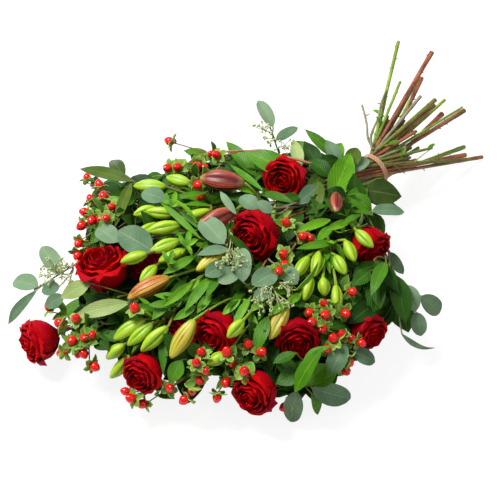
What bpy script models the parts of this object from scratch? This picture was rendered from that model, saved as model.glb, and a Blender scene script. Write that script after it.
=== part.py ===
# A funeral bouquet lying on a table: red roses, lily buds, hypericum berries and greens, tied with twine.
# Metres, +Z up. The bunch lies along X, with its flowers towards -X and its cut stem ends towards +X.
import math
import random

import bpy
import numpy as np
from mathutils import Matrix, Vector
from mathutils.bvhtree import BVHTree

# The photograph's view: it looks down at the bunch, which lies turned across the picture.
# Column and row are pixels of the 500 pixel picture, and the tie's middle is the origin until the end.
viewTilt = math.radians(50)
viewTurn = math.radians(45)
viewReach = 1.8
pixelWide = 0.00145
viewAim = Vector((-0.188, -0.146, 0.06))
lens = viewReach / pixelWide
pictureMiddle = 250
viewDown = Vector((0, math.cos(viewTilt), -math.sin(viewTilt)))
viewUp = Vector((0, math.sin(viewTilt), math.cos(viewTilt)))
viewEye = viewAim - viewDown * viewReach
turnToModel = Matrix.Rotation(-viewTurn, 3, "Z")

# The head of flowers is a low dome, an oval as the picture shows it
domeMiddle = (-0.22, -0.17)
domeHalf = (0.325, 0.24)
domeRim = 0.028
domeRise = 0.137

# The stems cross at the tie in a florist's spiral
tieHeight = 0.075
slotSpacing = 0.0059
waistRadius = 0.00245
fanTurn = math.radians(33)
leanAcross = 30.0
leanAside = 0.08
leanUp = 12.0
straightReach = 0.042
nearNeck = 0.13
fanAlong = Vector((0, math.cos(fanTurn), math.sin(fanTurn)))
fanOver = Vector((0, -math.sin(fanTurn), math.cos(fanTurn)))

clearGap = 0.0006
seatGap = 0.00035
sharpTurn = math.radians(72)
weldGap = 0.0000002
nudge = 0.00004
floorGap = 0.0004

# Stem kinds: number of sides, radius at a short tail's end and at the flower end
kinds = {
    "rose": dict(sides=4, cut=0.0026, top=0.0023),
    "lily": dict(sides=4, cut=0.0026, top=0.0022),
    "hypericum": dict(sides=4, cut=0.0025, top=0.0014),
    "eucalyptus": dict(sides=3, cut=0.0020, top=0.0011),
    "leafy_green": dict(sides=3, cut=0.0020, top=0.0012),
}

# Cut ends that the picture shows: place, and radius in mm
cutEnds = (((432, 53), 4.0), ((405, 41), 2.9), ((492, 155), 3.0), ((466, 171), 3.0), ((465, 146), 3.4),
           ((424, 79), 3.8), ((434, 105), 3.8), ((435, 99), 3.6), ((441, 114), 4.0), ((463, 113), 3.8),
           ((466, 158), 3.6), ((413, 74), 2.8), ((399, 84), 2.2), ((421, 94), 2.6), ((442, 98), 2.6),
           ((462, 106), 1.7), ((410, 100), 2.2), ((386, 90), 1.8), ((363, 105), 1.8), ((412, 154), 1.8),
           ((407, 160), 1.8))
tailRuns = [step * 0.01 for step in range(5, 26)]
shortTail = (0.05, 0.10)
berrySides = 4

# Roses: bloom's middle in the picture, sink of its middle under the dome, width in mm,
# and the way it faces as picture right, picture up and towards the eye
roses = (
    ((287, 179), 30, 60, (-0.42, -0.15, 0.90)),
    ((259, 232), 26, 64, (-0.62, -0.36, 0.68)),
    ((104, 271), 26, 68, (-0.20, 0.80, 0.55)),
    ((147, 260), 46, 56, (-0.60, -0.20, 0.60)),
    ((41, 340), 20, 58, (-0.80, -0.30, 0.45)),
    ((220, 331), 30, 58, (-0.60, -0.42, 0.68)),
    ((297, 335), 28, 54, (0.05, -0.62, 0.78)),
    ((368, 243), 32, 54, (0.45, -0.75, 0.45)),
    ((145, 371), 24, 52, (-0.45, -0.50, 0.75)),
    ((257, 390), 14, 58, (-0.52, -0.48, 0.70)),
    ((366, 330), 30, 50, (0.50, -0.45, 0.50)),
    ((180, 334), 62, 52, (-0.50, -0.40, 0.70)),
)

# Lilies: the stem's neck and tip, then buds as tip and base, and leaves as base, tip and width in mm.
# A bud's third number is its width in mm where it is a fat one.
lilies = (
    dict(neck=(225, 205), tip=(196, 204), buds=(((133, 186), (167, 187)), ((133, 215), (158, 209)),
         ((181, 220), (211, 210))), leaves=(((205, 193), (170, 200), 9), ((225, 215), (190, 226), 9))),
    dict(neck=(212, 240), tip=(182, 243), buds=(((133, 243), (158, 223)), ((146, 233), (181, 225)),
         ((149, 251), (179, 240)), ((120, 264), (150, 254)), ((140, 283), (157, 265))),
         leaves=(((195, 256), (162, 275), 13), ((205, 232), (178, 212), 9))),
    dict(neck=(192, 306), tip=(152, 333), buds=(((113, 340), (146, 319)), ((127, 346), (153, 323)),
         ((106, 359), (125, 344)), ((111, 379), (133, 355))),
         leaves=(((196, 306), (173, 320), 12), ((172, 298), (152, 320), 16))),
    dict(neck=(328, 232), tip=(327, 256), buds=(((295, 277), (309, 256)), ((314, 277), (319, 251)),
         ((325, 296), (323, 277)), ((337, 312), (336, 284)), ((346, 275), (335, 255))),
         leaves=(((350, 221), (325, 230), 12), ((336, 242), (296, 249), 12))),
    dict(neck=(275, 196), tip=(252, 196), buds=(((199, 178), (246, 184), 24), ((199, 225), (236, 210), 20)),
         leaves=(((262, 190), (228, 166), 12),)),
    dict(neck=(240, 258), tip=(205, 268), buds=(((127, 299), (171, 277)), ((196, 271), (225, 252))),
         leaves=(((211, 293), (197, 313), 13), ((199, 279), (185, 292), 11))),
    dict(neck=(258, 288), tip=(241, 303), buds=(((169, 360), (195, 322)), ((225, 337), (244, 319)),
         ((207, 365), (226, 354))), leaves=(((240, 300), (222, 315), 12),)),
    dict(neck=(295, 272), tip=(287, 298), buds=(((269, 340), (288, 305)), ((246, 288), (262, 283))),
         leaves=(((301, 294), (286, 305), 11), ((270, 296), (250, 312), 12))),
    dict(neck=(348, 205), tip=(352, 226), buds=(((336, 212), (336, 193)), ((372, 248), (357, 230))),
         leaves=(((360, 215), (340, 228), 10),)),
)

# Hypericum sprays: neck and tip of the stem, and the berries
hypericums = (
    dict(neck=(150, 212), neckSink=0.038, tip=(104, 208), berries=((87, 177), (103, 196), (84, 212), (100, 219), (81, 226),
         (78, 244))),
    dict(neck=(226, 172), neckSink=0.035, tip=(185, 165), berries=((169, 141), (211, 154), (177, 167),
         (197, 166), (198, 185))),
    dict(neck=(130, 312), tip=(80, 336), berries=((48, 306), (59, 323), (72, 341), (61, 353), (78, 354),
         (95, 367))),
    dict(neck=(188, 362), tip=(164, 393), tipSink=0.022, berries=((125, 390), (142, 404), (151, 389),
         (170, 388))),
    dict(neck=(236, 340), neckSink=0.055, tip=(198, 375), berries=((201, 352), (196, 362), (200, 381),
         (184, 400))),
    dict(neck=(255, 340), tip=(233, 372), berries=((227, 353), (227, 383), (217, 398), (248, 374))),
    dict(neck=(310, 226), tip=(290, 252), berries=((286, 222), (303, 236), (284, 264), (269, 272))),
    dict(neck=(338, 268), tip=(328, 306), berries=((353, 292), (324, 303), (346, 314), (311, 323))),
    dict(neck=(345, 300), tip=(343, 352), berries=((333, 338), (351, 339), (362, 343), (350, 362),
         (346, 371), (320, 394))),
)

# Eucalyptus and other greens: neck and tip of the stem, and leaves as base, tip, width in mm and shape.
# A pick's third number is its height over the table in mm.
eucalyptuses = (
    dict(neck=(92, 258), neckSink=0.062, tip=(34, 290), leaves=(((61, 274), (49, 249), 33, "round"),
         ((38, 287), (12, 281), 30, "round"), ((36, 291), (9, 324), 15, "lance"),
         ((60, 286), (42, 292), 20, "round"), ((64, 296), (46, 306), 20, "round"))),
    dict(neck=(190, 232), tip=(152, 236), leaves=(((152, 250), (117, 230), 46, "round"),
         ((118, 242), (97, 228), 28, "round"), ((165, 200), (142, 193), 26, "round"))),
    dict(neck=(285, 165, 105), tip=(270, 127, 128), leaves=(((273, 127, 132), (258, 100, 150), 21, "round"),
         ((276, 140, 118), (298, 128, 128), 18, "round"))),
    dict(neck=(238, 206), tip=(227, 246), leaves=(((224, 244), (202, 218), 36, "round"),
         ((236, 214, 172), (212, 192, 168), 15, "lance"), ((229, 250), (197, 255), 16, "lance"),
         ((228, 264), (205, 276), 24, "round"))),
    dict(neck=(272, 240), tip=(252, 284), leaves=(((243, 282), (243, 249), 28, "round"),
         ((238, 271), (218, 282), 24, "round"), ((277, 272), (252, 285), 30, "round"),
         ((282, 268), (297, 284), 24, "round"), ((271, 290), (254, 300), 20, "round"))),
    dict(neck=(305, 206), tip=(272, 208), leaves=(((257, 209), (240, 197), 24, "round"),
         ((271, 213), (256, 200), 22, "round"))),
    dict(neck=(372, 225), tip=(416, 318), leaves=(((372, 211), (405, 211), 27, "round"),
         ((390, 252), (409, 268), 23, "round"), ((380, 261), (392, 284), 24, "round"),
         ((421, 296), (440, 313), 26, "round"), ((416, 312), (421, 336), 22, "round"),
         ((402, 334), (434, 349), 15, "lance"), ((405, 285), (416, 311), 24, "round"))),
    dict(neck=(345, 320), tip=(318, 384), leaves=(((345, 344), (329, 375), 27, "round"),
         ((353, 352), (375, 362), 24, "round"),
         ((312, 388), (348, 397), 36, "round"), ((297, 391), (291, 422), 27, "round"))),
)
greens = (
    dict(neck=(318, 172, 100), tip=(292, 170, 112), leaves=(((294, 176, 108), (240, 152, 120), 50, "oval"),
         ((256, 176, 96), (226, 141, 108), 22, "lance"), ((212, 160, 92), (184, 150, 100), 20, "oval"))),
    dict(neck=(316, 186, 84), tip=(306, 168, 104), leaves=(((336, 158, 104), (307, 128, 122), 18, "lance"),
         ((318, 162, 98), (291, 142, 108), 26, "oval"), ((328, 168, 104), (342, 142, 104), 26, "oval"))),
    dict(neck=(330, 210, 66), tip=(316, 218, 74), leaves=(((360, 196, 82), (401, 197, 66), 36, "oval"),
         ((328, 216, 70), (352, 226, 60), 24, "oval"))),
    dict(neck=(383, 240), tip=(390, 278), leaves=(((395, 275), (406, 323), 38, "oval"),
         ((375, 276), (376, 315), 28, "oval"), ((378, 300), (350, 326), 30, "oval"),
         ((374, 260), (398, 287), 28, "oval"), ((370, 271), (352, 286), 22, "oval"))),
    dict(neck=(303, 345), tip=(299, 386), leaves=(((295, 392, 78), (321, 354, 112), 36, "oval"),
         ((303, 385), (327, 363), 28, "oval"), ((312, 384), (336, 373), 26, "oval"),
         ((311, 393), (319, 415), 18, "oval"), ((296, 353), (275, 365), 20, "oval"),
         ((268, 317), (255, 352), 20, "lance"))),
    dict(neck=(150, 290), neckSink=0.07, tip=(118, 297), leaves=(((90, 283), (61, 299), 26, "oval"),
         ((128, 303), (74, 315), 24, "lance"), ((103, 229), (90, 242), 18, "oval"))),
    dict(neck=(205, 212), neckSink=0.046, tip=(134, 183), leaves=(((131, 184), (115, 225), 19, "lance"),
         ((133, 181), (79, 168), 26, "lance"), ((124, 178), (112, 161), 22, "oval"))),
    dict(neck=(215, 352), tip=(188, 362), leaves=(((182, 360), (170, 383), 22, "oval"),
         ((216, 364), (184, 377), 20, "oval"))),
)

# Broad leaves under the bunch, which it lies on: owner, plan place of base and tip from the tie, width in mm
restingLeaves = (
    ("leafy_green_4", (-0.115, -0.150), (-0.150, -0.205), 40),
    ("leafy_green_5", (-0.300, -0.120), (-0.345, -0.175), 42),
    ("leafy_green_8", (-0.400, -0.020), (-0.455, -0.070), 42),
    ("leafy_green_6", (-0.425, 0.140), (-0.482, 0.176), 42),
    ("leafy_green_7", (-0.290, 0.235), (-0.330, 0.290), 42),
    ("leafy_green_1", (-0.140, 0.130), (-0.175, 0.185), 42),
)

# Leaf outlines: share of the length from the base, share of the half width
leafShapes = {
    "round": ((0.0, 0.12), (0.26, 0.92), (0.72, 0.90)),
    "oval": ((0.0, 0.10), (0.30, 0.94), (0.68, 0.82)),
    "lance": ((0.0, 0.14), (0.30, 0.95), (0.68, 0.85)),
}

tones = {
    "rose_bloom": ((0.55, 0.008, 0.012), 0.45),
    "rose_stem": ((0.10, 0.22, 0.05), 0.5),
    "lily": ((0.33, 0.50, 0.06), 0.4),
    "hypericum": ((0.62, 0.02, 0.015), 0.25),
    "eucalyptus": ((0.32, 0.45, 0.34), 0.6),
    "leafy_green": ((0.06, 0.22, 0.03), 0.35),
    "tie": ((0.50, 0.33, 0.20), 0.85),
}

# A bloom 60 mm wide, along its axis: the core's height and radius, the petals' radius, height and spread
bloomFoot = 0.0300
coreRows = ((-bloomFoot, 0.0068), (-0.0165, 0.0135), (0.0080, 0.0148), (0.0245, 0.0100))
innerRoot = (0.0060, -0.0190)
innerRows = ((0.0205, -0.0010, 1.0), (0.0200, 0.0280, 0.80))
outerRoot = (0.0040, -0.0262)
outerRows = ((0.0240, -0.0135, 1.0), (0.0285, 0.0060, 1.0), (0.0300, 0.0232, 0.70))
petalThick = 0.0022

taken = []
shapesOf = {}
stemPaths = {}
dropped = []


# Places in the picture

def toPicture(point):
    """The column and row where the picture shows a point."""
    seen = turnToModel.transposed() @ point - viewEye
    depth = seen.dot(viewDown)
    return pictureMiddle + lens * seen.x / depth, pictureMiddle - lens * seen.dot(viewUp) / depth


def onRay(column, row, height):
    """The point that the picture shows at this pixel, at this height."""
    across = (column - pictureMiddle) / lens
    up = (pictureMiddle - row) / lens
    ray = viewDown + Vector((across, 0, 0)) + viewUp * up
    point = viewEye + ray * ((viewEye.z - height) / -ray.z)
    return turnToModel @ point


def domeHeight(point):
    """Height of the head of flowers over a plan place, with the hump of the stems by the tie."""
    seen = turnToModel.transposed() @ point
    share = ((seen.x - domeMiddle[0]) / domeHalf[0]) ** 2 + ((seen.y - domeMiddle[1]) / domeHalf[1]) ** 2
    dome = domeRim + domeRise * math.sqrt(max(0.0, 1 - share)) - 0.35 * max(0.0, share - 1)
    hump = tieHeight + 0.028 - 0.55 * math.hypot(point.x, point.y)
    return max(dome, hump)


def onDome(pick, sink=0.0):
    """The dome's point at a pixel, sunk by this much; a third number in the pick is its height in mm.

    A line of sight that passes over the dome gives the point where it is nearest to it.
    """
    column, row = pick[:2]
    if len(pick) > 2:
        return onRay(column, row, max(0.002, pick[2] * 0.001 - sink))
    nearest = math.inf
    height = 0.22
    while height > 0.004 and nearest > 0:
        point = onRay(column, row, height)
        gap = height - domeHeight(point) + sink
        if gap < nearest:
            nearest = gap
            best = point
        height -= 0.002
    return best


def facing(right, up, toward):
    """A direction given as the picture shows it."""
    seen = Vector((right, 0, 0)) + viewUp * up - viewDown * toward
    return (turnToModel @ seen).normalized()


# Shapes: each is a list of points and a list of faces

def bezier(start, startPull, endPull, end, count):
    points = []
    for step in range(count + 1):
        t = step / count
        s = 1 - t
        points.append(start * s**3 + startPull * (3 * s * s * t) + endPull * (3 * s * t * t) + end * t**3)
    return points


def frames(points):
    """A side and an up direction at each point, carried along without twist."""
    tangents = []
    for index in range(len(points)):
        ahead = points[min(index + 1, len(points) - 1)]
        behind = points[max(index - 1, 0)]
        tangents.append((ahead - behind).normalized())
    up = Vector((0, 0, 1)) if abs(tangents[0].z) < 0.9 else Vector((1, 0, 0))
    side = tangents[0].cross(up).normalized()
    result = []
    for tangent in tangents:
        side = (side - tangent * side.dot(tangent)).normalized()
        result.append((tangent, side, tangent.cross(side)))
    return result


def folds(points, radii):
    """True where a path turns so sharply that a solid of these radii along it would cross itself."""
    for index in range(1, len(points) - 1):
        before = points[index] - points[index - 1]
        after = points[index + 1] - points[index]
        turn = before.angle(after, math.pi)
        if turn > sharpTurn or radii[index] * math.tan(turn / 2) > 0.8 * min(before.length, after.length):
            return True
    return False


def loft(rings, tip=None):
    """Joins rings of points into one closed solid, with a flat start and a pointed or flat end."""
    sides = len(rings[0])
    points = [point for ring in rings for point in ring]
    faces = [tuple(reversed(range(sides)))]
    for level in range(len(rings) - 1):
        low = level * sides
        for index in range(sides):
            after = (index + 1) % sides
            faces.append((low + index, low + after, low + sides + after, low + sides + index))
    last = (len(rings) - 1) * sides
    if tip is None:
        faces.append(tuple(range(last, last + sides)))
    else:
        points.append(tip)
        faces += [(last + index, last + (index + 1) % sides, len(points) - 1) for index in range(sides)]
    return points, faces


def tube(points, radii, sides=5, pointed=False):
    """A stem, bud or berry along points, with this radius at each."""
    rings = []
    for point, radius, (tangent, side, up) in zip(points, radii, frames(points)):
        ring = []
        for index in range(sides):
            turn = 2 * math.pi * index / sides
            ring.append(point + side * (radius * math.cos(turn)) + up * (radius * math.sin(turn)))
        rings.append(ring)
    if pointed:
        return loft(rings[:-1], points[-1])
    return loft(rings)


def blade(points, halfWidths, normal, thick, fold, swell=0.0):
    """A leaf along its midrib: four points round each station, and a pointed tip."""
    tangents = [tangent for tangent, side, up in frames(points)]
    last = len(points) - 2
    side = tangents[last].cross(normal).normalized()
    rings = []
    for index in range(last, -1, -1):
        tangent = tangents[index]
        side = (side - tangent * side.dot(tangent)).normalized()
        up = side.cross(tangent)
        half = halfWidths[index]
        deep = thick / 2 + swell
        middle = points[index]
        edge = middle + up * (fold * half)
        reach = side * (half + swell)
        rings.append([edge - reach, middle + up * deep, edge + reach, middle - up * deep])
    return loft(rings[::-1], points[-1])


# Keeping clear

def treeOf(shape):
    return BVHTree.FromPolygons(shape[0], shape[1], epsilon=0.0)


def boxOf(shape):
    points = np.array([tuple(point) for point in shape[0]])
    return points.min(axis=0), points.max(axis=0)


def isClear(owner, shapes, ignore=(), stalkFaces=None):
    """True where no shape goes below the table or touches another node's shape.

    With stalkFaces, what comes after a shape's own stalk stays clear of its own node too.
    """
    for shape in shapes:
        low, high = boxOf(shape)
        if low[2] < floorGap - 1e-6:
            return False
        tree = None
        for node, otherLow, otherHigh, otherTree in taken:
            own = node == owner
            if (own and stalkFaces is None) or node in ignore:
                continue
            if (low > otherHigh).any() or (high < otherLow).any():
                continue
            if tree is None:
                tree = treeOf(shape)
            pairs = tree.overlap(otherTree)
            if own:
                pairs = [pair for pair in pairs if pair[0] >= stalkFaces]
            if pairs:
                return False
    return True


def keep(owner, shapes):
    for shape in shapes:
        low, high = boxOf(shape)
        taken.append((owner, low, high, treeOf(shape)))
        shapesOf.setdefault(owner, []).append(shape)


def settle(owner, label, shapesFor, attempts=60, ignore=(), gap=clearGap, stalkFaces=None):
    """Tries a piece in ever freer ways until it is clear of the other nodes, and keeps it."""
    for attempt in range(attempts):
        wander = attempt / attempts
        seed = f"{owner} {label} {attempt}"
        roomy = shapesFor(random.Random(seed), wander, gap)
        if roomy and isClear(owner, roomy, ignore, stalkFaces):
            shapes = shapesFor(random.Random(seed), wander, 0.0)
            keep(owner, shapes)
            return shapes
    dropped.append(f"{owner} {label}")
    return None


def anyWay(draw, reach):
    """A random offset inside a ball of this radius."""
    return Vector([draw.uniform(-1, 1) for axis in range(3)]) * reach


# Roses

def rosePetal(turn, root, rows, spread, swell):
    """A cupped petal from a point in the core: a thin lens whose front and back share their rim."""
    columns = (-1.0, -0.36, 0.36, 1.0)
    wide = len(columns)
    high = len(rows)
    middle = Vector((math.cos(turn), math.sin(turn), 0))
    points = [middle * root[0] + Vector((0, 0, root[1]))]
    front = {}
    back = {}
    for level, (radius, height, share) in enumerate(rows):
        for place, across in enumerate(columns):
            angle = turn + across * spread * share
            reach = (radius + 0.0016 * across) * (1 - 0.06 * across * across)
            lift = height - 0.0035 * across * across * (level + 1) / high
            outward = Vector((math.cos(angle), math.sin(angle), 0))
            middle = outward * reach + Vector((0, 0, lift))
            rim = abs(across) == 1.0 or level == high - 1
            if rim and not swell:
                front[level, place] = back[level, place] = len(points)
                points.append(middle)
                continue
            half = (0 if rim else petalThick / 2) + swell
            front[level, place] = len(points)
            back[level, place] = len(points) + 1
            points += [middle + outward * half, middle - outward * half]
    faces = []
    for place in range(wide - 1):
        faces.append((0, front[0, place + 1], front[0, place]))
        faces.append((0, back[0, place], back[0, place + 1]))
    for level in range(high - 1):
        for place in range(wide - 1):
            a, b = (level, place), (level, place + 1)
            c, d = (level + 1, place + 1), (level + 1, place)
            halves = ((a, b, d), (b, c, d)) if place == 0 else ((a, b, c), (a, c, d))
            for half in halves:
                faces.append(tuple(front[corner] for corner in half))
                faces.append(tuple(back[corner] for corner in reversed(half)))
    return points, faces


def roseShapes(middle, axis, size, seed, swell=0.0):
    """A bloom: a swirled core with three inner and five outer petals, for a bloom 60 mm wide times size."""
    draw = random.Random(seed)
    twist = draw.uniform(0, 2 * math.pi)
    sides = 6
    rings = []
    for height, radius in coreRows:
        ring = []
        for index in range(sides):
            ridge = 1.08 if index % 2 else 0.92
            turn = 2 * math.pi * index / sides + height * 22
            reach = (radius + swell) * ridge
            ring.append(Vector((reach * math.cos(turn), reach * math.sin(turn), height)))
        rings.append(ring)
    shapes = [loft(rings, Vector((0.002, 0.001, 0.0190)))]
    for index in range(3):
        turn = twist + (index + draw.uniform(-0.06, 0.06)) * 2 * math.pi / 3
        shapes.append(rosePetal(turn, innerRoot, innerRows, 0.98, swell))
    for index in range(5):
        flare = draw.uniform(-0.0015, 0.002)
        rows = outerRows[:-1] + ((outerRows[-1][0] + flare, outerRows[-1][1], outerRows[-1][2]),)
        turn = twist + 0.5 + (index + draw.uniform(-0.06, 0.06)) * 2 * math.pi / 5
        shapes.append(rosePetal(turn, outerRoot, rows, 0.72, swell))
    turned = axis.to_track_quat("Z", "Y").to_matrix()
    return [([middle + turned @ (point * size) for point in points], faces) for points, faces in shapes]


def placeRoses():
    places = []
    for number, (pick, sink, width, way) in enumerate(roses, 1):
        axis = facing(*way)
        size = width / 60
        name = f"rose_bloom_{number}"
        found = {}

        def shapesFor(draw, wander, swell):
            drop = sink * 0.001 + draw.uniform(-0.4, 1) * 0.05 * wander
            way = (axis + anyWay(draw, 0.5 * wander)).normalized()
            middle = onDome(pick, drop)
            middle.z = max(middle.z, 0.036 * size)
            found["place"] = (middle, way)
            return roseShapes(middle, way, size, number, swell)

        if settle(name, "bloom", shapesFor, 80):
            middle, way = found["place"]
            places.append((number, middle - way * (bloomFoot * size + seatGap), way, size))
    return places


# Stems

def slots(count):
    """Hexagonal places across the tie, nearest the middle first."""
    found = []
    for row in range(-8, 9):
        for column in range(-8, 9):
            along = (column + 0.5 * (row % 2) + 0.25) * slotSpacing
            over = row * slotSpacing * math.sqrt(0.75)
            found.append((along, over))
    found.sort(key=lambda place: math.hypot(*place))
    return found[:count]


def lean(slot):
    """The direction of a stem through its slot, towards the cut ends."""
    along, over = slot
    return Vector((1, leanAside, 0)) - fanAlong * (leanAcross * over) + fanOver * (leanUp * along)


def waistPoint(slot):
    return fanAlong * slot[0] + fanOver * slot[1] + Vector((0, 0, tieHeight))


def shareSlots(stems):
    """Gives each stem a slot, so that the ones for the left of the head lie on top in the tie."""
    places = slots(len(stems))
    rows = {}
    for place in places:
        rows.setdefault(round(place[1], 6), []).append(place)
    waiting = []
    for name, neck in stems:
        reach = max(0.05, -neck.x)
        way = Vector((0, neck.y, neck.z - tieHeight)) / reach
        waiting.append((way.dot(fanAlong), way.dot(fanOver), name))
    waiting.sort()
    given = {}
    for over in sorted(rows):
        row = sorted(rows[over])
        batch = sorted(waiting[:len(row)], key=lambda item: -item[1])
        waiting = waiting[len(row):]
        for place, item in zip(row, batch):
            given[item[2]] = place
    return given


def shareTails(given):
    """Gives each cut end in the picture to the free stem whose straight tail passes nearest to it."""
    free = dict(given)
    found = {}
    for (column, row), radius in cutEnds:
        nearest = None
        for name, slot in free.items():
            for run in tailRuns:
                seenAt = toPicture(waistPoint(slot) + lean(slot) * run)
                gap = math.hypot(seenAt[0] - column, seenAt[1] - row)
                if nearest is None or gap < nearest[0]:
                    nearest = (gap, name, run)
        gap, name, run = nearest
        found[name] = (run, radius * 0.001)
        del free[name]
    return found


def tailOf(name, kind, slot, tails):
    """End and radius of the straight tail past the tie, cut where it would reach the table."""
    way = lean(slot)
    start = waistPoint(slot)
    if name in tails:
        length, cutRadius = tails[name]
    else:
        length = random.Random("tail " + name).uniform(*shortTail)
        cutRadius = kinds[kind]["cut"]
    if way.z < 0:
        length = min(length, (start.z - cutRadius * 1.2 - floorGap) / -way.z)
    return start + way * length, cutRadius


def growStem(name, kind, slot, tails, neck, tip, axis, attempts=900):
    """The whole stem: cut end, tie and neck, then its tip or a bloom that faces along the axis."""
    end, cutRadius = tailOf(name, kind, slot, tails)
    way = lean(slot)
    start = waistPoint(slot)
    values = kinds[kind]
    headSteps = 4

    def pathFor(draw, wander):
        bulge = anyWay(draw, 0.08 * wander)
        bulge.x *= 0.4
        bulge.z -= 0.02 * wander
        back = -way.normalized()
        leave = start - way * (straightReach * (1 + draw.uniform(0, 1.2) * wander))
        target = neck
        if axis is None:
            target = neck + anyWay(draw, 0.05 * max(0.0, wander - 0.1))
            heading = ((tip - target).normalized() + (target - start).normalized()).normalized()
            reach = (target - leave).length
            pull = target - heading * reach * 0.33
        else:
            reach = (target - leave).length
            pull = target - axis * reach * 0.25
        points = bezier(leave, leave + back * reach * 0.3 + bulge * 0.4, pull + bulge, target, headSteps)
        points = [end] + points
        if axis is None:
            points.append(tip)
        return points

    def radiiFor(points):
        radii = [cutRadius, waistRadius]
        rest = len(points) - 2
        for step in range(1, rest + 1):
            share = step / rest
            radii.append(waistRadius + (values["top"] - waistRadius) * share ** 0.7)
        return radii

    def shapesFor(draw, wander, swell):
        points = pathFor(draw, wander)
        stemPaths[name] = points
        radii = [radius + swell for radius in radiiFor(points)]
        if folds(points, radii):
            return None
        return [tube(points, radii, values["sides"])]

    return settle(name, "stem", shapesFor, attempts, gap=0.0002)


def nearOn(name, point, upstream):
    """A point on a stem this far upstream of its nearest to a place, and the stem's direction there."""
    path = stemPaths[name][1:]
    fine = []
    for first, second in zip(path, path[1:]):
        for step in range(6):
            fine.append(first.lerp(second, step / 6))
    fine.append(path[-1])
    best = min(range(len(fine)), key=lambda index: (fine[index] - point).length)
    walked = 0.0
    while best > 3 and walked < upstream:
        walked += (fine[best] - fine[best - 1]).length
        best -= 1
    ahead = fine[min(best + 1, len(fine) - 1)]
    return fine[best], (ahead - fine[max(best - 1, 0)]).normalized()


def stalk(name, draw, wander, base, heading, count):
    """Points from the own stem to the base of a bud, berry or leaf, which it meets going this way."""
    gap = (base - nearOn(name, base, 0)[0]).length
    root, along = nearOn(name, base, gap * draw.uniform(0.2, 0.9) + draw.uniform(0, 0.05) * wander)
    reach = (base - root).length
    toward = (base - root).normalized()
    startPull = root + (along + toward) * (reach * 0.18) + anyWay(draw, 0.02 * wander)
    endPull = base - (heading * 1.3 + toward * 0.7) * (reach * 0.18) + anyWay(draw, 0.02 * wander)
    return bezier(root, startPull, endPull, base, count)


def placeLeaf(name, label, basePick, tipPick, width, shape, sink=0.004, attempts=300):
    outline = leafShapes[shape]

    def shapesFor(draw, wander, swell):
        drop = sink + draw.uniform(-0.6, 1) * 0.035 * wander
        tipDrop = drop + draw.uniform(-1, 1) * 0.02 * wander
        base = onDome(basePick, drop + 0.003)
        tip = onDome(tipPick, tipDrop)
        tip += anyWay(draw, 0.014 * wander)
        span = tip - base
        heading = span.normalized()
        outward = facing(0, 0.15, 1) * 0.7 + Vector((0, 0, 0.5)) + anyWay(draw, 0.25 + 0.7 * wander)
        normal = (outward - heading * outward.dot(heading)).normalized()
        arch = span.length * draw.uniform(0.03, 0.10)
        points = stalk(name, draw, wander, base, heading, 2)[:-1]
        half = [0.0011, 0.0010]
        shrink = 1 - 0.35 * wander
        for share, wide in outline:
            points.append(base + span * share + normal * (arch * math.sin(math.pi * share)))
            half.append(max(0.0010, wide * width * 0.0005 * shrink))
        points.append(tip)
        half.append(0)
        if folds(points, half):
            return None
        return [blade(points, half, normal, 0.0014, 0.22, swell)]

    return settle(name, label, shapesFor, attempts, stalkFaces=1 + 2 * 4)


def placeBud(name, label, tipPick, basePick, width=19, attempts=300):
    def shapesFor(draw, wander, swell):
        drop = 0.010 + draw.uniform(-1, 1) * 0.03 * wander
        base = onDome(basePick, drop + 0.004) + anyWay(draw, 0.006 * wander)
        tip = onDome(tipPick, drop) + anyWay(draw, 0.008 * wander)
        span = tip - base
        heading = span.normalized()
        fat = min(width * 0.0005, max(0.0066, span.length * (0.15 if width < 20 else 0.2))) + swell
        points = stalk(name, draw, wander, base, heading, 2)
        radii = [0.0019 + swell, 0.0018 + swell, fat * 0.45]
        for share, wide in ((0.28, 0.90), (0.72, 0.92)):
            points.append(base + span * share)
            radii.append(fat * wide)
        points.append(tip)
        radii.append(0)
        if folds(points, radii):
            return None
        return [tube(points, radii, 5, pointed=True)]

    return settle(name, label, shapesFor, attempts, stalkFaces=1 + 2 * 5)


def placeBerry(name, label, pick, attempts=250):
    def shapesFor(draw, wander, swell):
        drop = 0.006 + draw.uniform(-1, 1) * 0.03 * wander
        middle = onDome(pick, drop) + anyWay(draw, 0.006 * wander)
        middle.z = max(middle.z, 0.0085)
        root = nearOn(name, middle, 0)[0]
        heading = ((middle - root).normalized() + facing(0, 0.2, 0.5) * 0.4 + anyWay(draw, 0.5)).normalized()
        base = middle - heading * 0.0095
        points = stalk(name, draw, wander, base, heading, 1)
        radii = [0.0011 + swell, 0.0011 + swell]
        profile = ((0.0030, 0.0052), (0.0095, 0.0068), (0.0145, 0.0044), (0.0165, 0))
        for step, wide in profile:
            points.append(base + heading * step)
            radii.append(wide + swell if wide else 0)
        if folds(points[:3], radii[:3]):
            return None
        return [tube(points, radii, berrySides, pointed=True)]

    return settle(name, label, shapesFor, attempts, stalkFaces=1 + berrySides)


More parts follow.
